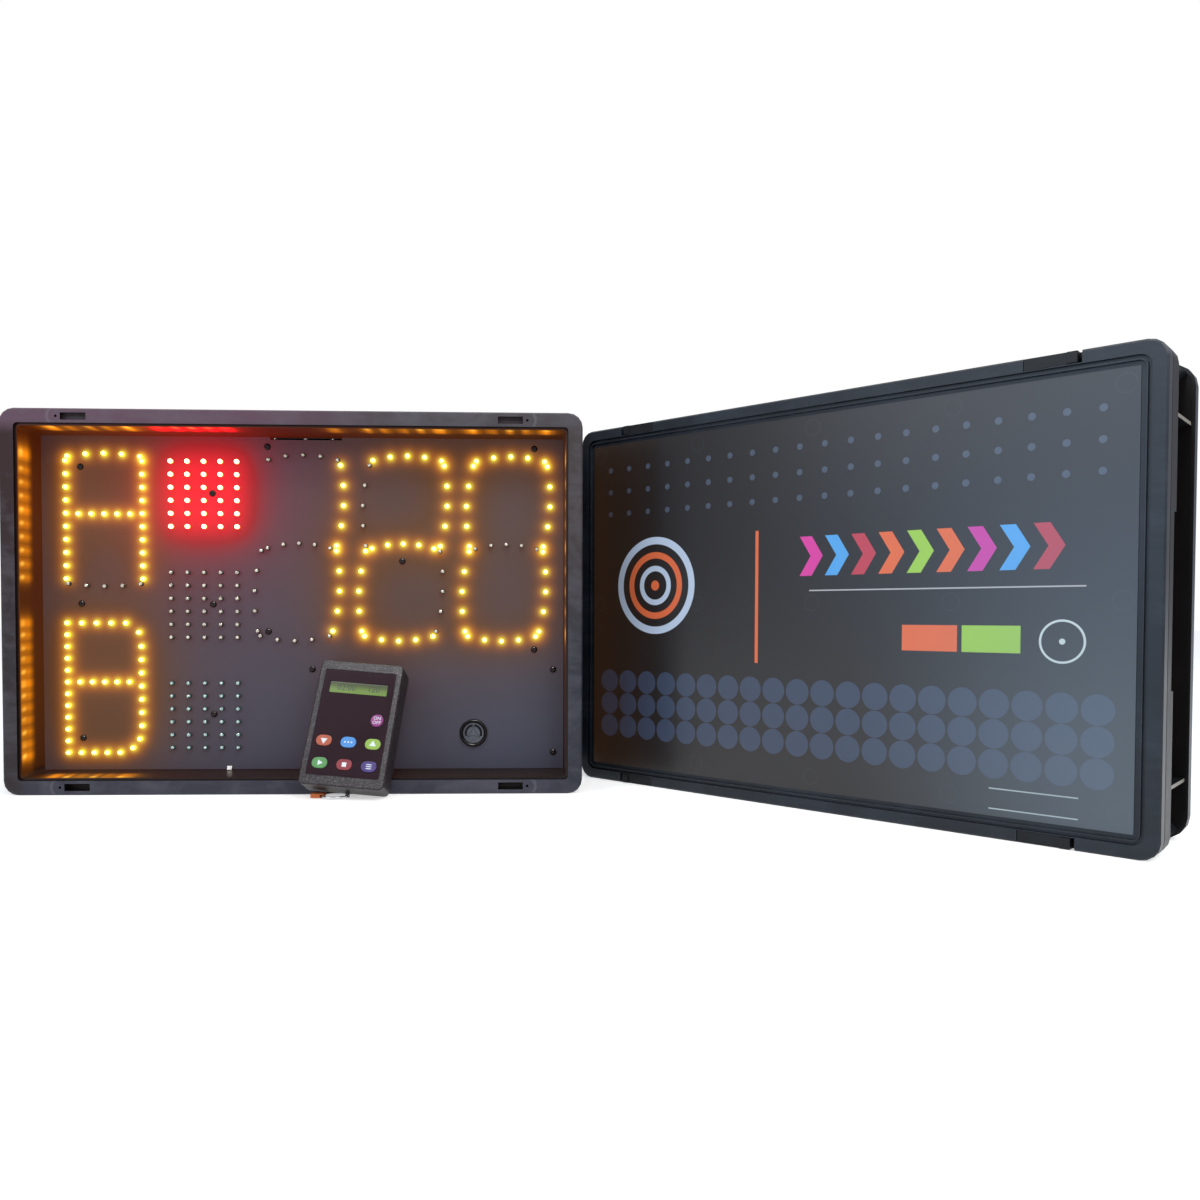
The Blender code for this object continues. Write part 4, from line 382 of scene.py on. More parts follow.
def crate_faces(centre, normal):
    """The finish of a face: 1 rim, 2 tray inside, 3 ribs' outer edges with a painted highlight, 4 tray
    outside and back with a painted bluish reflection, 0 the other walls.
    """
    if centre.y < RIM_FACE_END and normal.y < -0.3:
        return 1
    inside = abs(centre.x) < TRAY_HALF_WIDTH and abs(centre.z - MIDDLE_LEVEL) < TRAY_HALF_HEIGHT
    if inside and 0.0005 < centre.y < TRAY_FLOOR and normal.y < 0.5:
        return 2
    from_rib = min(abs(centre.z - level) for level in SIDE_RIB_LEVELS)
    if abs(centre.x) > SIDE_RIB_EDGE and from_rib < 0.0014 and 0.022 < centre.y < REAR_FLANGE:
        return 3
    tray_side = normal.x * centre.x > 0.25 and abs(centre.x) < SKIRT_INSIDE and centre.y > 0.012
    return 4 if tray_side or centre.y > REAR_FLANGE else 0


for unit, stand, body in (("a_", open_stand, "display_a"), ("b_", closed_stand, "display_b")):
    crate = round_edges(copy_solid(unit + "crate", unit + "crate_shell"), 0.0005)
    rim = rim_wear_and_painted_glow if unit == "a_" else crate_wall
    paint_faces(crate, (crate_wall, rim, crate_inside, rib_edge_painted_highlight, crate_back_painted_sheen), crate_faces, stand)
    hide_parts(unit + "crate")
    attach(crate, body)

# Behind each rim slot of the open crate the moulding closes in a shallow pocket with one small rib
POCKET_X = 0.2353
POCKET_LENGTH = 0.0535
# The top pockets take the painted-light copy, the bottom ones the painted-shade copy
for row, level, deep, tone in (("top", 0.3918, 0.0060, pocket_top_painted_light), ("bottom", 0.0082, 0.0120, pocket_foot_painted_shade)):
    for column, side in (("left", -1.0), ("right", 1.0)):
        floor_and_rib = []
        for place, size in (
            ((side * POCKET_X, deep, level), (POCKET_LENGTH, 0.0012, 0.0112)),
            ((side * POCKET_X, deep - 0.0008, level + 0.0014), (POCKET_LENGTH, 0.0018, 0.0008)),
        ):
            bpy.ops.mesh.primitive_cube_add(size=1.0, location=place, scale=size)
            floor_and_rib.append(bpy.context.object)
            bpy.ops.object.transform_apply(location=True, rotation=True, scale=True)
        alone(*floor_and_rib)
        bpy.ops.object.join()
        pocket = bpy.context.object
        pocket.name = f"a_slot_pocket_{row}_{column}"
        pocket.data.transform(open_stand)
        round_edges(pocket, 0.0003, 1)
        pocket.data.materials.append(tone)
        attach(pocket, "display_a")


# Lamps: clear 5 mm LEDs with a domed lens, soldered to boards and standing through the panel.
# They spell 120, an A and a B in amber; the red block is lit too, the rest is dark.
LENS_RADIUS = 0.0025
LENS_HEIGHT = 0.0055
PANEL_FACE = 0.0335


def lathe(name, profile, steps, axis_place=(0.0, 0.0, 0.0)):
    """A profile of (radius, depth) points spun about a line along Y; its seam and poles are closed."""
    mesh = bpy.data.meshes.new(name)
    mesh.from_pydata([(r, y, 0.0) for r, y in profile], [(i, i + 1) for i in range(len(profile) - 1)], [])
    piece = placed(name, mesh)
    alone(piece)
    bpy.ops.object.mode_set(mode="EDIT")
    bpy.ops.mesh.select_all(action="SELECT")
    bpy.ops.mesh.spin(steps=steps, angle=2 * math.pi, center=(0.0, 0.0, 0.0), axis=(0.0, 1.0, 0.0))
    bpy.ops.mesh.select_all(action="SELECT")
    bpy.ops.mesh.remove_doubles(threshold=0.00001)
    bpy.ops.mesh.normals_make_consistent(inside=False)
    bpy.ops.object.mode_set(mode="OBJECT")
    mesh.transform(Matrix.Translation(axis_place))
    return piece


def stamped(name, pattern, groups):
    """One mesh of copies of the pattern; each group of places takes the material slot of its order."""
    shape = bmesh.new()
    for index, places in enumerate(groups):
        for place in places:
            first_vert = len(shape.verts)
            first_face = len(shape.faces)
            shape.from_mesh(pattern)
            shape.verts.ensure_lookup_table()
            shape.faces.ensure_lookup_table()
            for vert in shape.verts[first_vert:]:
                vert.co += place
            for face in shape.faces[first_face:]:
                face.material_index = index
    mesh = bpy.data.meshes.new(name)
    shape.to_mesh(mesh)
    shape.free()
    mesh.shade_smooth()
    return placed(name, mesh)


def mesh_points(piece):
    """Every point of a mesh, one row each."""
    points = np.empty(len(piece.data.vertices) * 3, np.float32)
    piece.data.vertices.foreach_get("co", points)
    return points.reshape(-1, 3)


def store_lens(piece):
    """Keeps how far up its lens each point is, from 0 at the panel to 1 at the tip."""
    rise = np.clip((PANEL_FACE - mesh_points(piece)[:, 1]) / LENS_HEIGHT, 0.0, 1.0).astype(np.float32)
    piece.data.attributes.new("lens_rise", "FLOAT", "POINT").data.foreach_set("value", rise)


def lit_finish(name, tip, side, strength):
    """A lit lens: its tip shows the die, nearly white, and its sides carry the lamp's colour."""
    finish, tree, shader = new_finish(name)
    rise = add_node(tree, "Attribute", attribute_name="lens_rise")
    ramp = add_node(tree, "ValToRGB", {"Fac": rise.outputs["Fac"]})
    ramp.color_ramp.elements[0].position = 0.35
    ramp.color_ramp.elements[0].color = (*side, 1.0)
    ramp.color_ramp.elements[1].position = 0.97
    ramp.color_ramp.elements[1].color = (*tip, 1.0)
    tree.links.new(ramp.outputs[0], shader.inputs["Emission Color"])
    shader.inputs["Emission Strength"].default_value = strength
    shader.inputs["Base Color"].default_value = (*side, 1.0)
    shader.inputs["Roughness"].default_value = 0.1
    return finish


def dark_finish(name, core, shell):
    """An unlit lens: a pale cup under the tip, drawn brighter as a painted glint, seen through clear epoxy
    that darkens to its sides.
    """
    finish, tree, shader = new_finish(name)
    rise = add_node(tree, "Attribute", attribute_name="lens_rise")
    where = add_node(tree, "TexCoord")
    # Noise breaks the pale core into a small star: the cup's metal with a painted glint on it
    speck = add_node(tree, "TexNoise", {"Vector": where.outputs["Object"], "Scale": 1300.0, "Detail": 0.0})
    mixed = add_node(
        tree, "Math", {0: speck.outputs[0], 1: 0.55, 2: rise.outputs["Fac"]}, operation="MULTIPLY_ADD")
    cup = add_node(tree, "MapRange", {"Value": mixed.outputs[0], "From Min": 1.10, "From Max": 1.22})
    seen = add_node(
        tree, "Mix", {"Factor": cup.outputs[0], 6: (*shell, 1.0), 7: (*core, 1.0)}, data_type="RGBA")
    tree.links.new(seen.outputs[2], shader.inputs["Base Color"])
    shader.inputs["Roughness"].default_value = 0.08
    return finish


amber_lit = lit_finish("amber_lit", (1.0, 0.86, 0.16), (0.50, 0.26, 0.006), 6.0)
red_lit = lit_finish("red_lit", (1.0, 0.94, 0.52), (0.62, 0.12, 0.025), 6.0)
amber_dark = dark_finish("amber_dark", (0.84, 0.80, 0.66), (0.060, 0.045, 0.045))
green_dark = dark_finish("green_dark", (0.60, 0.86, 0.80), (0.045, 0.065, 0.070))

lens = lathe(
    "lens_pattern",
    (
        (LENS_RADIUS, 0.0), (LENS_RADIUS, -0.0030), (0.00217, -0.00425), (0.00125, -0.00516),
        (0.0, -LENS_HEIGHT),
    ),
    10,
)
lens_mesh = lens.data
bpy.data.objects.remove(lens)


def lamp_places(cad_name):
    """Middle of every lamp of a packed group, from the flat tips of its solids."""
    copy = copy_solid(cad_name, "tips")
    front = min(v.co.y for v in copy.data.vertices)
    flat = [face for face in copy.data.polygons if face.normal.y < -0.9]
    tips = [face.center.copy() for face in flat if abs(face.center.y - front) < 0.0002]
    bpy.data.objects.remove(copy)
    return [Vector((tip.x, PANEL_FACE, tip.z)) for tip in tips]


DIGIT_LEVEL = 0.2602
DIGIT_SLANT = 0.051
DIGIT_UPRIGHTS = 0.0395
LETTER_FOOT = 0.2237


def lit_in_digit(middle_x, shows):
    """A test for lamps: whether one belongs to a segment that shows, in the digit at middle_x."""
    def lit(place):
        z = place.z - DIGIT_LEVEL
        x = place.x - middle_x - DIGIT_SLANT * z
        if abs(x) > DIGIT_UPRIGHTS and 0.001 < abs(z) < 0.0915:
            segment = ("b" if z > 0 else "c") if x > 0 else ("f" if z > 0 else "e")
        else:
            segment = "a" if z > 0.05 else "d" if z < -0.05 else "g"
        return segment in shows
    return lit


lamp_groups = (
    ("a_digit_hundreds_leds", (amber_lit, amber_dark), lit_in_digit(-0.0059, "bc"), "amber_led"),
    ("a_digit_tens_leds", (amber_lit, amber_dark), lit_in_digit(0.1058, "abged"), "amber_led"),
    ("a_digit_units_leds", (amber_lit, amber_dark), lit_in_digit(0.2175, "abcdef"), "amber_led"),
    ("a_letter_upper_leds", (amber_lit, amber_dark), lambda place: place.z > LETTER_FOOT, "amber_led"),
    ("a_letter_lower_leds", (amber_lit, amber_dark), lambda place: True, "amber_led"),
    ("a_lamp_red_leds", (red_lit, amber_dark), lambda place: True, "red_led"),
    ("a_lamp_amber_leds", (amber_lit, amber_dark), lambda place: False, "clear_led"),
    ("a_lamp_green_leds", (amber_lit, green_dark), lambda place: False, "green_led"),
)
glowing = {"amber": [], "red": []}
to_closed = closed_stand @ open_stand.inverted()
for cad_name, finishes, lit, slot in lamp_groups:
    places = lamp_places(cad_name)
    on = [place for place in places if lit(place)]
    off = [place for place in places if not lit(place)]
    lamps = stamped(cad_name.replace("_leds", "_lenses"), lens_mesh, (on, off))
    for finish in finishes:
        lamps.data.materials.append(finish)
    store_lens(lamps)
    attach(lamps, "display_a")
    glowing["red" if cad_name == "a_lamp_red_leds" else "amber"] += on
    spare = stamped(cad_name.replace("a_", "b_", 1).replace("_leds", "_lenses"), lens_mesh, (places,))
    spare.data.materials.append(green_dark if "green" in cad_name else amber_dark)
    store_lens(spare)
    spare.data.transform(to_closed)
    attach(spare, "display_b")


# Display panel: a satin black sheet cut to the tray, which the lenses stand through. Round each lit
# lamp it catches the light; the closed display's panel is the same sheet, unlit.
bpy.ops.mesh.primitive_grid_add(
    x_subdivisions=371, y_subdivisions=241, size=1.0, rotation=(math.pi / 2, 0.0, 0.0))
panel = bpy.context.object
panel.name = "a_lamp_panel"
bpy.ops.object.transform_apply(location=True, rotation=True, scale=True)
low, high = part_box("a_display_panel")
panel.data.transform(
    Matrix.Translation(((low.x + high.x) / 2, low.y, (low.z + high.z) / 2))
    @ Matrix.Diagonal((high.x - low.x, 1.0, high.z - low.z, 1.0))
)
pick_faces(panel, lambda face: -0.037 < face.center.x < 0.040 and face.center.z > high.z - 0.0030)
bpy.ops.mesh.delete(type="FACE")
bpy.ops.object.mode_set(mode="OBJECT")
points = mesh_points(panel)


def cast_light(lamps, reach, tail=None):
    """Light that the panel gets from lamps that stand in it: a round pool or, with a tail, a wide spill."""
    total = np.zeros(len(points), np.float32)
    for lamp in lamps:
        away = np.hypot(points[:, 0] - lamp.x, points[:, 2] - lamp.z) / reach
        total += np.exp(-(away ** 2)) if tail is None else 1.0 / (1.0 + away ** tail)
    return total


light = np.column_stack((
    cast_light(glowing["amber"], 0.0042), cast_light(glowing["amber"], 0.0090),
    cast_light(glowing["amber"], 0.0200, 2.0), cast_light(glowing["red"], 0.0150, 2.5),
)).astype(np.float32)
panel.data.attributes.new("cast_light", "FLOAT_COLOR", "POINT").data.foreach_set("color", light.ravel())
alone(panel)
bpy.ops.object.mode_set(mode="EDIT")
bpy.ops.mesh.select_mode(type="EDGE")
bpy.ops.mesh.select_all(action="DESELECT")
bpy.ops.mesh.select_non_manifold()
bpy.ops.mesh.extrude_region_move(TRANSFORM_OT_translate={"value": (0.0, high.y - low.y, 0.0)})
bpy.ops.mesh.edge_face_add()
bpy.ops.mesh.select_all(action="SELECT")
bpy.ops.mesh.normals_make_consistent(inside=False)
bpy.ops.object.mode_set(mode="OBJECT")

unlit_film = plastic(
    "unlit_film", (0.040, 0.057, 0.094), (0.055, 0.073, 0.11), 0.2, 0.50, 1500.0, 0.00002, gloss=0.25)
panel_film = unlit_film.copy()
panel_film.name = "panel_film"


def shine(finish, attribute, colours):
    """Adds the light that an attribute keeps, a colour for each channel, and returns the channels."""
    tree, shader, _ = wiring(finish)
    caught = add_node(tree, "Attribute", attribute_name=attribute)
    parts = add_node(tree, "SeparateColor", {0: caught.outputs["Color"]})
    channels = (*parts.outputs, caught.outputs["Alpha"])
    glow = None
    for channel, colour in zip(channels, colours):
        tint = add_node(tree, "VectorMath", {0: colour, "Scale": channel}, operation="SCALE").outputs[0]
        glow = tint if glow is None else add_node(
            tree, "VectorMath", {0: glow, 1: tint}, operation="ADD").outputs[0]
    tree.links.new(glow, shader.inputs["Emission Color"])
    shader.inputs["Emission Strength"].default_value = 1.0
    return channels


_, _, amber_spill, red_spill = shine(
    panel_film, "cast_light",
    ((0.60, 0.72, 0.06), (0.33, 0.086, 0.0), (0.0146, 0.0040, 0.0006), (0.180, 0.0, 0.0030)))
# Where the spill is strong it leaves little of the sheet's own blue grey
tree, shader, group = wiring(panel_film)
kept = group.outputs["Color"]
for spill, most, sunk in (
    (amber_spill, 4.8, (0.034, 0.022, 0.010, 1.0)),
    (red_spill, 1.9, (0.002, 0.0002, 0.002, 1.0)),
):
    kept = blend(rising(spill, 0.0, most, "LINEAR"), kept, sunk)
tree.links.new(kept, shader.inputs["Base Color"])
panel.data.materials.clear()
panel.data.materials.append(panel_film)
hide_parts("a_display_panel")
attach(panel, "display_a")


# Tray walls of the open display: each takes the light of the lamps that stand nearest to it, as one
# bright spot a lamp near the rim over a dark warm spill, so the walls are cut fine enough to hold it.
shell = bpy.data.objects["a_crate_shell"]
WALL_HALF_WIDTH = 0.2835
WALL_HALF_HEIGHT = 0.1835
WALL_END = 0.0345


def tray_wall(face):
    """Tells whether a face belongs to one of the tray's four side walls."""
    x, z = abs(face.center.x), abs(face.center.z - MIDDLE_LEVEL)
    return x < WALL_HALF_WIDTH and z < WALL_HALF_HEIGHT and abs(face.normal.y) < 0.1 and face.area > 0.00001


for depth in np.arange(-0.0068, 0.0340, 0.0024):
    pick_faces(shell, tray_wall)
    bpy.ops.mesh.bisect(plane_co=(0.0, depth, 0.0), plane_no=(0.0, 1.0, 0.0))
    bpy.ops.object.mode_set(mode="OBJECT")
pick_faces(shell, lambda face: False)
bpy.ops.mesh.select_mode(type="EDGE")
bpy.ops.object.mode_set(mode="OBJECT")
points = mesh_points(shell)
for edge in shell.data.edges:
    start, end = points[edge.vertices[0]], points[edge.vertices[1]]
    level = abs(start[1] - end[1]) < 0.0001 and -0.0070 < start[1] < WALL_END
    within_x = max(abs(start[0]), abs(end[0])) < WALL_HALF_WIDTH
    within_z = abs(start[2] - MIDDLE_LEVEL) < WALL_HALF_HEIGHT
    edge.select = bool(level and within_x and within_z and np.linalg.norm(end - start) > 0.3)
bpy.ops.object.mode_set(mode="EDIT")
bpy.ops.mesh.subdivide(number_cuts=300)
bpy.ops.mesh.customdata_custom_splitnormals_clear()
bpy.ops.object.mode_set(mode="OBJECT")
settle_shading(shell)
points = mesh_points(shell)
wide, tall = np.abs(points[:, 0]), np.abs(points[:, 2] - MIDDLE_LEVEL)
side_wall = (wide > 0.2755) & (wide < WALL_HALF_WIDTH) & (tall < 0.1815)
cross_wall = (tall > 0.1755) & (tall < WALL_HALF_HEIGHT) & (wide < 0.2815)
on_wall = ((side_wall | cross_wall) & (points[:, 1] < WALL_END)).astype(np.float32)


def wall_light(lamps):
    """Spots, their bright middles, and the wide spill, of these lamps on the tray's walls."""
    total = np.zeros((3, len(points)), np.float32)
    depth = points[:, 1]
    spot_depth = np.clip((depth + 0.0078) / 0.0020, 0.0, 1.0)
    spot_depth = spot_depth * np.clip((0.0190 - depth) / 0.0100, 0.0, 1.0) ** 1.5
    middle_depth = np.exp(-(((depth + 0.0015) / 0.0030) ** 2))
    for lamp in lamps:
        across = np.abs(points[:, 0] - lamp.x)
        up = np.abs(points[:, 2] - lamp.z)
        gap = np.where(side_wall, across, up)
        along = np.where(side_wall, up, across)
        near = (0.030 / np.maximum(gap, 0.030)) ** 4
        total[0] += near * spot_depth * (
            np.exp(-((along / (0.145 * gap)) ** 2)) + 0.20 * np.exp(-((along / (0.35 * gap)) ** 2)))
        total[1] += near * middle_depth * np.exp(-((along / (0.05 * gap)) ** 2))
        total[2] += 1.0 / (1.0 + (np.hypot(gap, along) / 0.030) ** 2)
    total[2] *= np.where(cross_wall & (points[:, 2] < MIDDLE_LEVEL), 0.4, 1.0)
    return total * on_wall


amber_wall = wall_light(glowing["amber"])
red_wall = wall_light(glowing["red"])
light = np.column_stack((
    amber_wall[0], amber_wall[1] + red_wall[1] * 0.5, amber_wall[2],
    2.2 * red_wall[0] + 0.045 * red_wall[2],
)).astype(np.float32)
shell.data.attributes.new("wall_light", "FLOAT_COLOR", "POINT").data.foreach_set("color", light.ravel())
lit_wall = crate_inside.copy()
lit_wall.name = "lit_wall"
shine(
    lit_wall, "wall_light",
    ((0.50, 0.140, 0.001), (0.50, 0.42, 0.07), (0.0078, 0.0019, 0.0), (0.62, 0.002, 0.007)))
shell.data.materials[2] = lit_wall


def recolour(cad_name, finish):
    """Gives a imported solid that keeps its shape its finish."""
    mesh = cad[cad_name].data
    mesh.materials.clear()
    mesh.materials.append(finish)


recolour("b_display_panel", unlit_film)


# Boards, packs and straps behind the panels: green solder mask over glass fibre, cells in blue shrink
# wrap, and a plain steel band that holds each pack to the back of its panel.
board_mask = plastic("board_mask", (0.015, 0.10, 0.04), (0.05, 0.20, 0.09), 0.8, 0.4, 300.0, 0.00004)
for cad_name in cad:
    if cad_name.endswith("board") or cad_name.endswith("_leds") or cad_name == "remote_lcd_module":
        recolour(cad_name, board_mask)
shrink_wrap = plastic("shrink_wrap", (0.03, 0.08, 0.22), (0.10, 0.17, 0.34), 0.5, 0.25, 260.0, 0.00005)
for cad_name in ("a_battery_pack", "b_battery_pack", "remote_battery"):
    recolour(cad_name, shrink_wrap)


def metal(name, colour, roughness, grain, metallic=1.0):
    """Plated or bare metal with fine marks."""
    finish = plastic(name, colour, tuple(min(1.0, c * 1.25) for c in colour), 0.5, roughness, grain)
    finish.node_tree.nodes["Principled BSDF"].inputs["Metallic"].default_value = metallic
    return finish


steel_band = metal("steel_band", (0.50, 0.50, 0.52), 0.30, 600.0)
for cad_name in ("a_battery_strap", "b_battery_strap"):
    recolour(cad_name, steel_band)


# Panel screws: black oxide steel with dome heads and a small hex socket. They are turned in from the
# front, through the panel and into the boards behind it.
# The heads' reddish-brown tint is painted light of the amber and red lamps on black oxide
black_oxide_painted_warmth = plastic(
    "black_oxide_painted_warmth", (0.009, 0.0035, 0.003), (0.02, 0.010, 0.009), 0.5, 0.16, 500.0, 0.00001, gloss=0.22)
screw = lathe(
    "screw_pattern",
    (
        (0.0, 0.0003), (0.0036, -0.0001), (0.00355, -0.0006), (0.0031, -0.0014), (0.0023, -0.0021),
        (0.0009, -0.0026), (0.0008, -0.0022), (0.0, -0.0021),
    ),
    18,
)
screw_mesh = screw.data
bpy.data.objects.remove(screw)
for number in range(1, 15):
    cad_name = f"a_panel_screw_{number:02d}"
    low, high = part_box(cad_name)
    middle = Vector(((low.x + high.x) / 2, PANEL_FACE, (low.z + high.z) / 2))
    head = stamped(f"a_screw_head_{number:02d}", screw_mesh, [[middle]])
    head.data.materials.append(black_oxide_painted_warmth)
    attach(head, "display_a")
    recolour(cad_name, black_oxide_painted_warmth)


# Nickel strip with three screws under the tray's top wall, and the small clip at the panel's foot.
# Both are pressed sheet, bright on the lower edge that shows and dark above it, in the tray's shade.
nickel = metal("nickel", (0.66, 0.63, 0.58), 0.20, 500.0)
strip_dark = metal("strip_dark", (0.03, 0.03, 0.032), 0.35, 600.0, 0.5)
for cad_name, name, bright in (
    ("a_socket_strip", "a_strip_finished", 0.00125), ("a_panel_clip", "a_clip_finished", 0.0022),
):
    piece = round_edges(copy_solid(cad_name, name), 0.00018)
    dark_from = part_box(cad_name)[0].z + bright
    paint_faces(piece, (nickel, strip_dark), lambda centre, normal: int(centre.z > dark_from))
    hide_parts(cad_name)
    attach(piece, "display_a")


# Sounder: a moulded black ring on the panel with a grey slotted cap inside it, and its can behind. The
# cap has three arc slots and a raised web of three arms, and its lowest slot is closed.
SOUNDER_X = 0.1818
SOUNDER_Z = 0.0592
WEB_ARM_REACH = 2.75
WEB_SHADOW_SHARE = 0.13
ring_black = plastic("ring_black", (0.003, 0.0025, 0.0025), (0.02, 0.018, 0.018), 0.25, 0.30, gloss=0.15)
cap_grey = plastic("cap_grey", (0.070, 0.078, 0.098), (0.15, 0.16, 0.19), 0.3, 0.30, gloss=0.4)
bezel = lathe(
    "a_sounder_ring",
    (
        (0.0116, -0.0003), (0.0150, -0.0003), (0.0151, -0.0012), (0.0148, -0.0023), (0.0141, -0.0031),
        (0.0134, -0.0034), (0.0127, -0.0031), (0.0120, -0.0024), (0.0116, -0.0019), (0.0116, -0.0003),
    ),
    48, (SOUNDER_X, PANEL_FACE, SOUNDER_Z),
)
bezel.data.materials.append(ring_black)
bezel.data.shade_smooth()
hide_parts("a_sounder_bezel")
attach(bezel, "display_a")
cap = round_edges(copy_solid("a_sounder_cap", "a_sounder_grille"), 0.0003)
# The cap's slot walls take the black finish: painted shade that makes the arc slots look dark and wide
paint_faces(cap, (cap_grey, ring_black), lambda centre, normal: int(
    0.0070 < math.hypot(centre.x - SOUNDER_X, centre.z - SOUNDER_Z) < 0.0101 and normal.y > -0.5))
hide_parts("a_sounder_cap")
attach(cap, "display_a")
# A raised three-armed web stands on the cap, ringed by a painted shadow, and the lowest arc slot is closed by
# a shallow floor
low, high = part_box("a_sounder_cap")
bpy.ops.mesh.primitive_cylinder_add(
    vertices=6, radius=0.0026, depth=0.0005, location=(SOUNDER_X, low.y - 0.00015, SOUNDER_Z),
    rotation=(math.pi / 2, 0.0, 0.0))
web = bpy.context.object
web.name = "a_sounder_web"
bpy.ops.object.transform_apply(location=True, rotation=True, scale=True)
for vert in web.data.vertices:
    around = math.degrees(math.atan2(vert.co.z - SOUNDER_Z, vert.co.x - SOUNDER_X)) % 120.0
    if abs(around - 90.0) < 10.0:
        vert.co.x = SOUNDER_X + (vert.co.x - SOUNDER_X) * WEB_ARM_REACH
        vert.co.z = SOUNDER_Z + (vert.co.z - SOUNDER_Z) * WEB_ARM_REACH
# A slightly larger black copy of the web, just behind it, is a painted shadow round the web's edges
gap = placed("a_sounder_web_shadow", web.data.copy())
for vert in gap.data.vertices:
    vert.co.x += (vert.co.x - SOUNDER_X) * WEB_SHADOW_SHARE
    vert.co.y += 0.00012
    vert.co.z += (vert.co.z - SOUNDER_Z) * WEB_SHADOW_SHARE
for piece, finish, slot in ((web, cap_grey, "sounder_grey"), (gap, ring_black, "sounder_black")):
    round_edges(piece, 0.0002, 2)
    piece.data.materials.append(finish)
    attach(piece, "display_a")
slot_front = low.y + 0.0006
slot_floor = lathe(
    "a_sounder_slot_floor",
    ((0.0071, slot_front), (0.0100, slot_front), (0.0100, high.y), (0.0071, high.y), (0.0071, slot_front)),
    48, (SOUNDER_X, 0.0, SOUNDER_Z),
)
pick_faces(slot_floor, lambda face: face.center.z > SOUNDER_Z - 0.0045)
bpy.ops.mesh.delete(type="FACE")
bpy.ops.mesh.select_all(action="SELECT")
bpy.ops.mesh.fill_holes(sides=0)
bpy.ops.mesh.normals_make_consistent(inside=False)
bpy.ops.object.mode_set(mode="OBJECT")
slot_floor.data.materials.append(cap_grey)
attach(slot_floor, "display_a")
recolour("a_sounder_body", ring_black)
recolour("b_sounder", ring_black)


# Lid of the closed display: one moulding with a rounded rim, a groove and a raised ridge, and a printed
# film in its middle: small and large dots, an orange rule, plain rings and chevrons in bright colours.
lid = round_edges(copy_solid("b_lid", "b_lid_cover"), 0.0005)
lid_plastic = plastic(
    "lid_plastic", (0.006, 0.010, 0.016), (0.045, 0.062, 0.09), 0.35, 0.36, 700.0, 0.00003, gloss=0.32)
lid_film = plastic("lid_film", (0.015, 0.014, 0.015), (0.024, 0.023, 0.026), 0.1, 0.29, 1500.0, 0.000006)
tree, shader, group = wiring(lid_film)
tree.links.remove(shader.inputs["Roughness"].links[0])
shader.inputs["Roughness"].default_value = 0.29


def own_axes(stand):
    """Across, through and up in a turned piece's own axes, in the tree that is being wired."""
    flatten = stand.inverted()
    where = add_node(tree, "TexCoord").outputs["Object"]
    local = add_node(
        tree, "Mapping",
        {"Vector": where, "Rotation": flatten.to_euler(), "Location": flatten.translation})
    return add_node(tree, "SeparateXYZ", {0: local.outputs[0]}).outputs


lid_across, _, lid_up = own_axes(closed_stand)


def within(value, middle, half, edge=0.0002):
    """1 where value is within half of middle, with a narrow soft edge."""
    distance = calc("ABSOLUTE", calc("SUBTRACT", value, middle))
    return rising(distance, half + edge, half - edge, "LINEAR")


def dot_rows(radius, first_x, pitch_x, columns, first_z, pitch_z, rows):
    """Mask of a grid of round dots."""
    def folded(value, first, pitch):
        share = calc("DIVIDE", calc("SUBTRACT", value, first - pitch / 2), pitch)
        return calc("MULTIPLY", calc("SUBTRACT", calc("FRACT", share), 0.5), pitch)
    dots = round_distance(folded(lid_across, first_x, pitch_x), folded(lid_up, first_z, pitch_z))
    span_x = within(lid_across, first_x + pitch_x * (columns - 1) / 2, pitch_x * columns / 2)
    span_z = within(lid_up, first_z + pitch_z * (rows - 1) / 2, pitch_z * rows / 2)
    return calc("MULTIPLY", within(dots, 0.0, radius), calc("MULTIPLY", span_x, span_z))


def bar(middle_x, half_x, middle_z, half_z):
    """Mask of an upright rectangle."""
    return calc("MULTIPLY", within(lid_across, middle_x, half_x), within(lid_up, middle_z, half_z))


CHEVRON_LEVEL = 0.2460
rise = calc("ABSOLUTE", calc("SUBTRACT", lid_up, CHEVRON_LEVEL))
slanted = calc("DIVIDE", calc("MULTIPLY_ADD", rise, 0.62, calc("SUBTRACT", lid_across, -0.0035)), 0.0271)
stripes = within(calc("FRACT", slanted), 0.32, 0.24, 0.006)
chevrons = calc("MULTIPLY", stripes, within(slanted, 4.5, 4.5, 0.004))
chevrons = calc("MULTIPLY", chevrons, within(lid_up, CHEVRON_LEVEL, 0.0190))
order = add_node(tree, "ValToRGB", {"Fac": calc("DIVIDE", slanted, 9.0)})
order.color_ramp.interpolation = "CONSTANT"
stops = order.color_ramp.elements
bright = (
    (0.76, 0.06, 0.40), (0.10, 0.42, 0.90), (0.56, 0.06, 0.10), (0.82, 0.17, 0.065), (0.36, 0.66, 0.09),
    (0.82, 0.17, 0.065), (0.62, 0.06, 0.42), (0.10, 0.42, 0.90), (0.50, 0.06, 0.10),
)
for step, shade in enumerate(bright):
    stop = stops[0] if step == 0 else stops.new(step / 9.0)
    stop.color = (*shade, 1.0)
stops[-1].color = (*bright[-1], 1.0)
PALE_BLUE = (0.56, 0.68, 0.86, 1.0)
ORANGE = (0.82, 0.17, 0.065, 1.0)
LIME = (0.36, 0.66, 0.09, 1.0)
target = round_distance(lid_across, lid_up, -0.1915, 0.2212)
ring = round_distance(lid_across, lid_up, 0.2270, 0.1680)
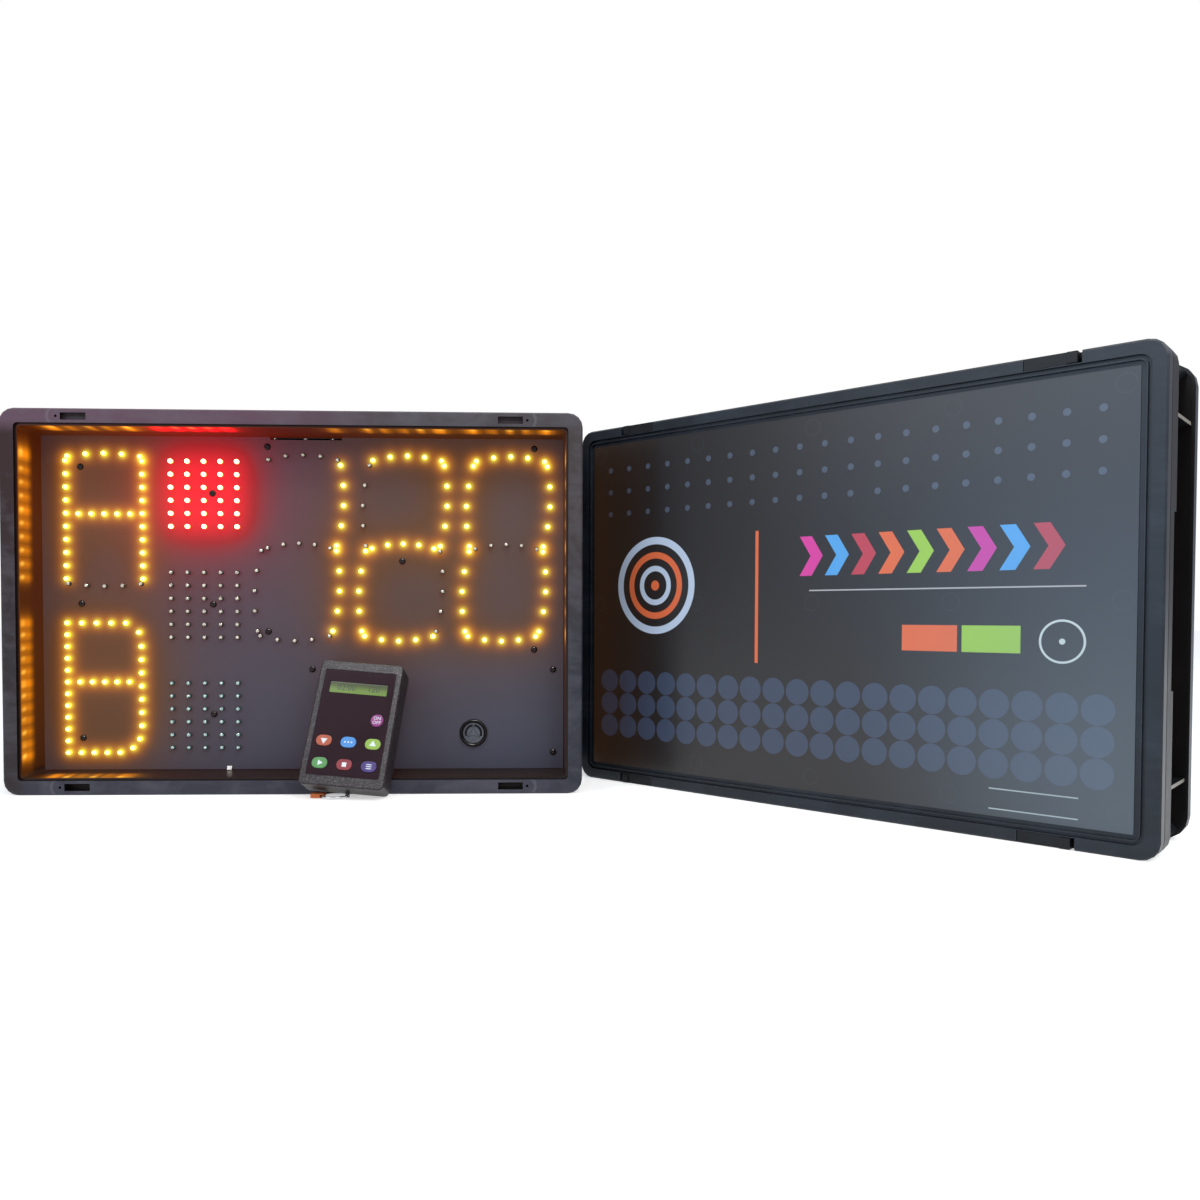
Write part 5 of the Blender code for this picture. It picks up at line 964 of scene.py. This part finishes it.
prints = [
    (dot_rows(0.0031, -0.2560, 0.02689, 20, 0.3028, 0.02475, 3), (0.068, 0.092, 0.138, 1.0)),
    (dot_rows(0.0125, -0.2569, 0.02690, 20, 0.0633, 0.0255, 3), (0.044, 0.065, 0.116, 1.0)),
    (bar(-0.0617, 0.0018, 0.2072, 0.0663), ORANGE),
    (within(target, 0.0490, 0.0040), PALE_BLUE),
    (within(target, 0.0330, 0.0035), ORANGE),
    (within(target, 0.0185, 0.0030), PALE_BLUE),
    (within(target, 0.0, 0.0055), ORANGE),
    (chevrons, order.outputs[0]),
    (bar(0.1210, 0.1235, 0.2128, 0.0006), (0.50, 0.52, 0.55, 1.0)),
    (bar(0.1165, 0.0250, 0.1690, 0.0115), ORANGE),
    (bar(0.1700, 0.0245, 0.1690, 0.0115), LIME),
    (within(ring, 0.0170, 0.0009), (0.68, 0.80, 0.82, 1.0)),
    (within(ring, 0.0, 0.0024), (0.68, 0.80, 0.82, 1.0)),
    (bar(0.2056, 0.0353, 0.0424, 0.0005), (0.55, 0.66, 0.68, 1.0)),
    (bar(0.2056, 0.0353, 0.0253, 0.0005), (0.55, 0.66, 0.68, 1.0)),
]
# Round marks of the mould's ejectors, pale on their edges
EJECTOR_PITCH = 0.1680
folded = calc("PINGPONG", calc("ADD", lid_up, -0.0330), EJECTOR_PITCH)
nearest = calc("MINIMUM", folded, calc("SUBTRACT", EJECTOR_PITCH, folded))
for mark_x in (-0.271, -0.1355, 0.0, 0.1355, 0.271):
    edge = within(round_distance(lid_across, nearest, mark_x), 0.0076, 0.0004, 0.0006)
    prints.append((calc("MULTIPLY", edge, 0.07), (0.19, 0.22, 0.26, 1.0)))
# A painted bluish reflection of the surround, paler towards the lower right, and the open display's warm
# light painted on the left end
painted_sky_sheen = calc("MULTIPLY", rising(lid_across, 0.02, 0.29), rising(lid_up, 0.36, 0.03))
prints.append((calc("MULTIPLY", painted_sky_sheen, 0.40), (0.175, 0.240, 0.305, 1.0)))
colour = group.outputs["Color"]
for mask, shade in prints:
    colour = blend(mask, colour, shade)
tree.links.new(colour, shader.inputs["Base Color"])
warm = rising(lid_across, -0.13, -0.30)
warmth = add_node(tree, "VectorMath", {0: (0.016, 0.0058, 0.0008), "Scale": warm}, operation="SCALE")
tree.links.new(warmth.outputs[0], shader.inputs["Emission Color"])
shader.inputs["Emission Strength"].default_value = 1.0


def lid_faces(centre, normal):
    """The finish of a face: 1 the printed field at the bottom of its recess, 0 the bare moulding."""
    film = abs(centre.x) < 0.2822 and abs(centre.z - MIDDLE_LEVEL) < 0.1822 and normal.y < -0.9
    return 1 if film and -0.0112 < centre.y < -0.0098 else 0


paint_faces(lid, (lid_plastic, lid_film), lid_faces, closed_stand)
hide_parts("b_lid")
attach(lid, "lid")


# Latches: four black sliders in the lid's long edges, each with a thumb ridge; slid outwards they hook
# behind the crate's rim.
for row in ("top", "bottom"):
    for column in ("left", "right"):
        cad_name = f"b_latch_{row}_{column}"
        latch = round_edges(copy_solid(cad_name, cad_name + "_slider"), 0.0003)
        latch.data.materials.append(crate_wall)
        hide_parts(cad_name)
        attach(latch, f"latch_{row}_{column}")


# Remote: two black textured half shells, leaning on the open display's panel. They are moulded with a
# coarse grain that shows pale specks, and screwed together from the back.
REMOTE_WIDTH = 0.0875
REMOTE_THICKNESS = 0.030
REMOTE_CORNER = 0.005
remote_turn = (
    Matrix.Rotation(math.radians(-1.66), 4, "Z")
    @ Matrix.Rotation(math.radians(-23.3), 4, "X")
    @ Matrix.Rotation(math.radians(4.99), 4, "Y")
)
across, along = remote_turn[2][0], remote_turn[2][2]
remote_foot = abs(across) * (REMOTE_WIDTH / 2 - REMOTE_CORNER) - along * REMOTE_CORNER
remote_foot += REMOTE_CORNER * math.hypot(across, along)
remote_stand = Matrix.Translation((0.0561, -0.0226, remote_foot)) @ remote_turn
case_texture = plastic(
    "case_texture", (0.008, 0.0055, 0.0055), (0.03, 0.026, 0.028), 0.4, 0.42, 900.0, 0.00020, gloss=0.3)
tree, shader, group = wiring(case_texture)
where = add_node(tree, "TexCoord").outputs["Object"]
speck = add_node(tree, "TexNoise", {"Vector": where, "Scale": 620.0, "Detail": 1.0}).outputs[0]
share = rising(speck, 0.50, 0.72, "LINEAR")
speckled = blend(share, group.outputs["Color"], (0.070, 0.061, 0.073, 1.0))
tree.links.new(speckled, shader.inputs["Base Color"])
for cad_name, width in (
    ("remote_front_case", 0.0006), ("remote_back_case", 0.0004), ("remote_battery_door", 0.0002),
):
    shell = round_edges(copy_solid(cad_name, cad_name + "_shell"), width)
    shell.data.materials.append(case_texture)
    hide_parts(cad_name)
    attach(shell, "battery_door" if "door" in cad_name else "remote")


# Overlay: a printed plum-black film set into the face, with openings for the keys and the display. It
# is cut to shape and glued down in the face's shallow recess.
overlay_film = plastic(
    "overlay_film", (0.020, 0.0065, 0.0115), (0.026, 0.010, 0.016), 0.2, 0.24, 900.0, 0.000005, gloss=0.13)
recolour("remote_overlay", overlay_film)


# Liquid crystal display: a green backlit pane with dark characters; it shows the seconds left. The pane
# is smooth clear plastic behind the overlay's opening; its colour carries a painted highlight along its top
# edge and painted shade just under it, and grows brighter green towards the bottom.
glass, tree, shader = new_finish("backlit_pane")
_, _, pane_up = own_axes(remote_stand)
# Painted light on the pane: a pale painted highlight at its top edge, painted shade under it, then brighter
# towards the bottom
down = rising(pane_up, 0.1112, 0.0992, "LINEAR")
ramp = add_node(tree, "ValToRGB", {"Fac": down})
stops = ramp.color_ramp.elements
stops[0].color = (0.60, 0.62, 0.58, 1.0)
stops[1].color = (0.16, 0.265, 0.055, 1.0)
for place, shade in (
    (0.08, (0.055, 0.070, 0.030)), (0.35, (0.085, 0.115, 0.038)), (0.65, (0.14, 0.215, 0.055)),
):
    stops.new(place).color = (*shade, 1.0)
tree.links.new(ramp.outputs[0], shader.inputs["Base Color"])
tree.links.new(ramp.outputs[0], shader.inputs["Emission Color"])
shader.inputs["Emission Strength"].default_value = 0.22
shader.inputs["Roughness"].default_value = 0.12
recolour("remote_lcd_window", glass)

ink_black = plastic("lcd_ink", (0.02, 0.035, 0.012), (0.03, 0.05, 0.02), 0.2, 0.3)


def flat_text(name, words, size, place, finish, thickness=0.00008):
    """Raised print on the remote's face: place is its middle in the remote's own axes."""
    curve = bpy.data.curves.new(name, "FONT")
    curve.body = words
    curve.size = size
    curve.align_x = "CENTER"
    curve.align_y = "CENTER"
    curve.extrude = thickness / 2
    curve.resolution_u = 3
    piece = placed(name, curve)
    alone(piece)
    bpy.ops.object.convert(target="MESH")
    piece = bpy.context.object
    piece.data.transform(remote_stand @ Matrix.Translation(place) @ Matrix.Rotation(math.pi / 2, 4, "X"))
    piece.data.materials.append(finish)
    return piece


OVERLAY_SINK = 0.0009
pane_front = -REMOTE_THICKNESS + OVERLAY_SINK
number = flat_text(
    "remote_lcd_number", "02:00     120", 0.0088, (0.0, pane_front - 0.00004, 0.1050), ink_black)
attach(number, "remote")


# Keys: seven moulded caps through the overlay, each in its own colour with a plain white mark. They
# stand a little proud of the film and are pressed down onto the board behind it.
legend_white = plastic("legend_white", (0.72, 0.80, 0.86), (0.80, 0.85, 0.90), 0.3, 0.4)
OVERLAY_GAP = 0.0003
OVERLAY_THICKNESS = 0.0005
KEY_RISE = 0.0004
mark_level = pane_front - OVERLAY_GAP - OVERLAY_THICKNESS - KEY_RISE - 0.00003
key_looks = {
    "power": ((0.24, 0.006, 0.18), "key_magenta", (0.0253, 0.0720)),
    "down": ((0.42, 0.075, 0.022), "key_orange", (-0.0253, 0.0467)),
    "select": ((0.055, 0.27, 0.70), "key_blue", (0.0, 0.0467)),
    "up": ((0.27, 0.46, 0.050), "key_lime", (0.0253, 0.0467)),
    "start": ((0.080, 0.29, 0.075), "key_green", (-0.0253, 0.0230)),
    "stop": ((0.23, 0.006, 0.016), "key_red", (0.0, 0.0230)),
    "mode": ((0.032, 0.006, 0.15), "key_indigo", (0.0253, 0.0230)),
}
one_marks = {
    "down": (3, 0.0040, math.pi), "up": (3, 0.0040, 0.0),
    "start": (3, 0.0034, -math.pi / 2), "stop": (4, 0.0032, math.pi / 4),
}
three_marks = {"select": (0.0034, 0.0, (1.0, 1.0)), "mode": (0.0, 0.0021, (3.6, 0.55))}


def flat_mark(name, corners, radius, turn, place, stretch=(1.0, 1.0)):
    """A thin white many-cornered mark on a key, in the remote's own axes."""
    bpy.ops.mesh.primitive_cylinder_add(vertices=corners, radius=radius, depth=0.00008)
    piece = bpy.context.object
    piece.name = name
    face = Matrix.Rotation(math.pi / 2, 4, "X") @ Matrix.Diagonal((stretch[0], stretch[1], 1.0, 1.0))
    piece.data.transform(remote_stand @ Matrix.Translation(place) @ face @ Matrix.Rotation(turn, 4, "Z"))
    piece.data.materials.append(legend_white)
    return piece


for name, (colour, slot, (x, z)) in key_looks.items():
    worn = tuple(min(1.0, c * 1.3 + 0.02) for c in colour)
    cap_finish = plastic("cap_" + name, colour, worn, 0.3, 0.32, 800.0)
    key = round_edges(copy_solid("remote_key_" + name, f"key_{name}_cap"), 0.00018)
    key.data.materials.append(cap_finish)
    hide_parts("remote_key_" + name)
    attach(key, "key_" + name)
    marks = []
    if name == "power":
        for words, rise in (("on", 0.0023), ("off", -0.0023)):
            marks.append(flat_text(
                "key_power_" + words, words.upper(), 0.0050, (x, mark_level, z + rise), legend_white))
    elif name in one_marks:
        marks.append(flat_mark(f"key_{name}_mark", *one_marks[name], (x, mark_level, z)))
    else:
        apart_x, apart_z, stretch = three_marks[name]
        for step in (-1, 0, 1):
            spot = (x + step * apart_x, mark_level, z + step * apart_z)
            marks.append(flat_mark(f"key_{name}_mark_{step + 2}", 12, 0.0009, 0.0, spot, stretch))
    for mark in marks:
        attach(mark, "key_" + name)


# Key ring under the remote's lower end: a bright split ring of spring wire, whose two turns are drawn as
# one round ring, and a folded tag of orange woven tape.
RING_RADIUS = 0.0130
WIRE_RADIUS = 0.0009
low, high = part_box("remote_key_ring")
bpy.ops.mesh.primitive_torus_add(
    major_segments=72, minor_segments=12, major_radius=RING_RADIUS, minor_radius=WIRE_RADIUS,
    location=((low.x + high.x) / 2, (low.y + high.y) / 2, (low.z + high.z) / 2))
ring = bpy.context.object
ring.name = "remote_split_ring"
bpy.ops.object.transform_apply(location=True, rotation=True, scale=True)
bpy.ops.object.shade_smooth()
bright_steel = metal("bright_steel", (0.62, 0.63, 0.65), 0.16, 700.0)
ring.data.materials.append(bright_steel)
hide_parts("remote_key_ring")
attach(ring, "key_ring")
tag = round_edges(copy_solid("remote_key_tag", "remote_tape_tag"), 0.0003)
tape = plastic("tape_weave", (0.62, 0.13, 0.03), (0.75, 0.26, 0.08), 0.6, 0.6, 1200.0, 0.0002)
tag.data.materials.append(tape)
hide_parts("remote_key_tag")
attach(tag, "key_ring")
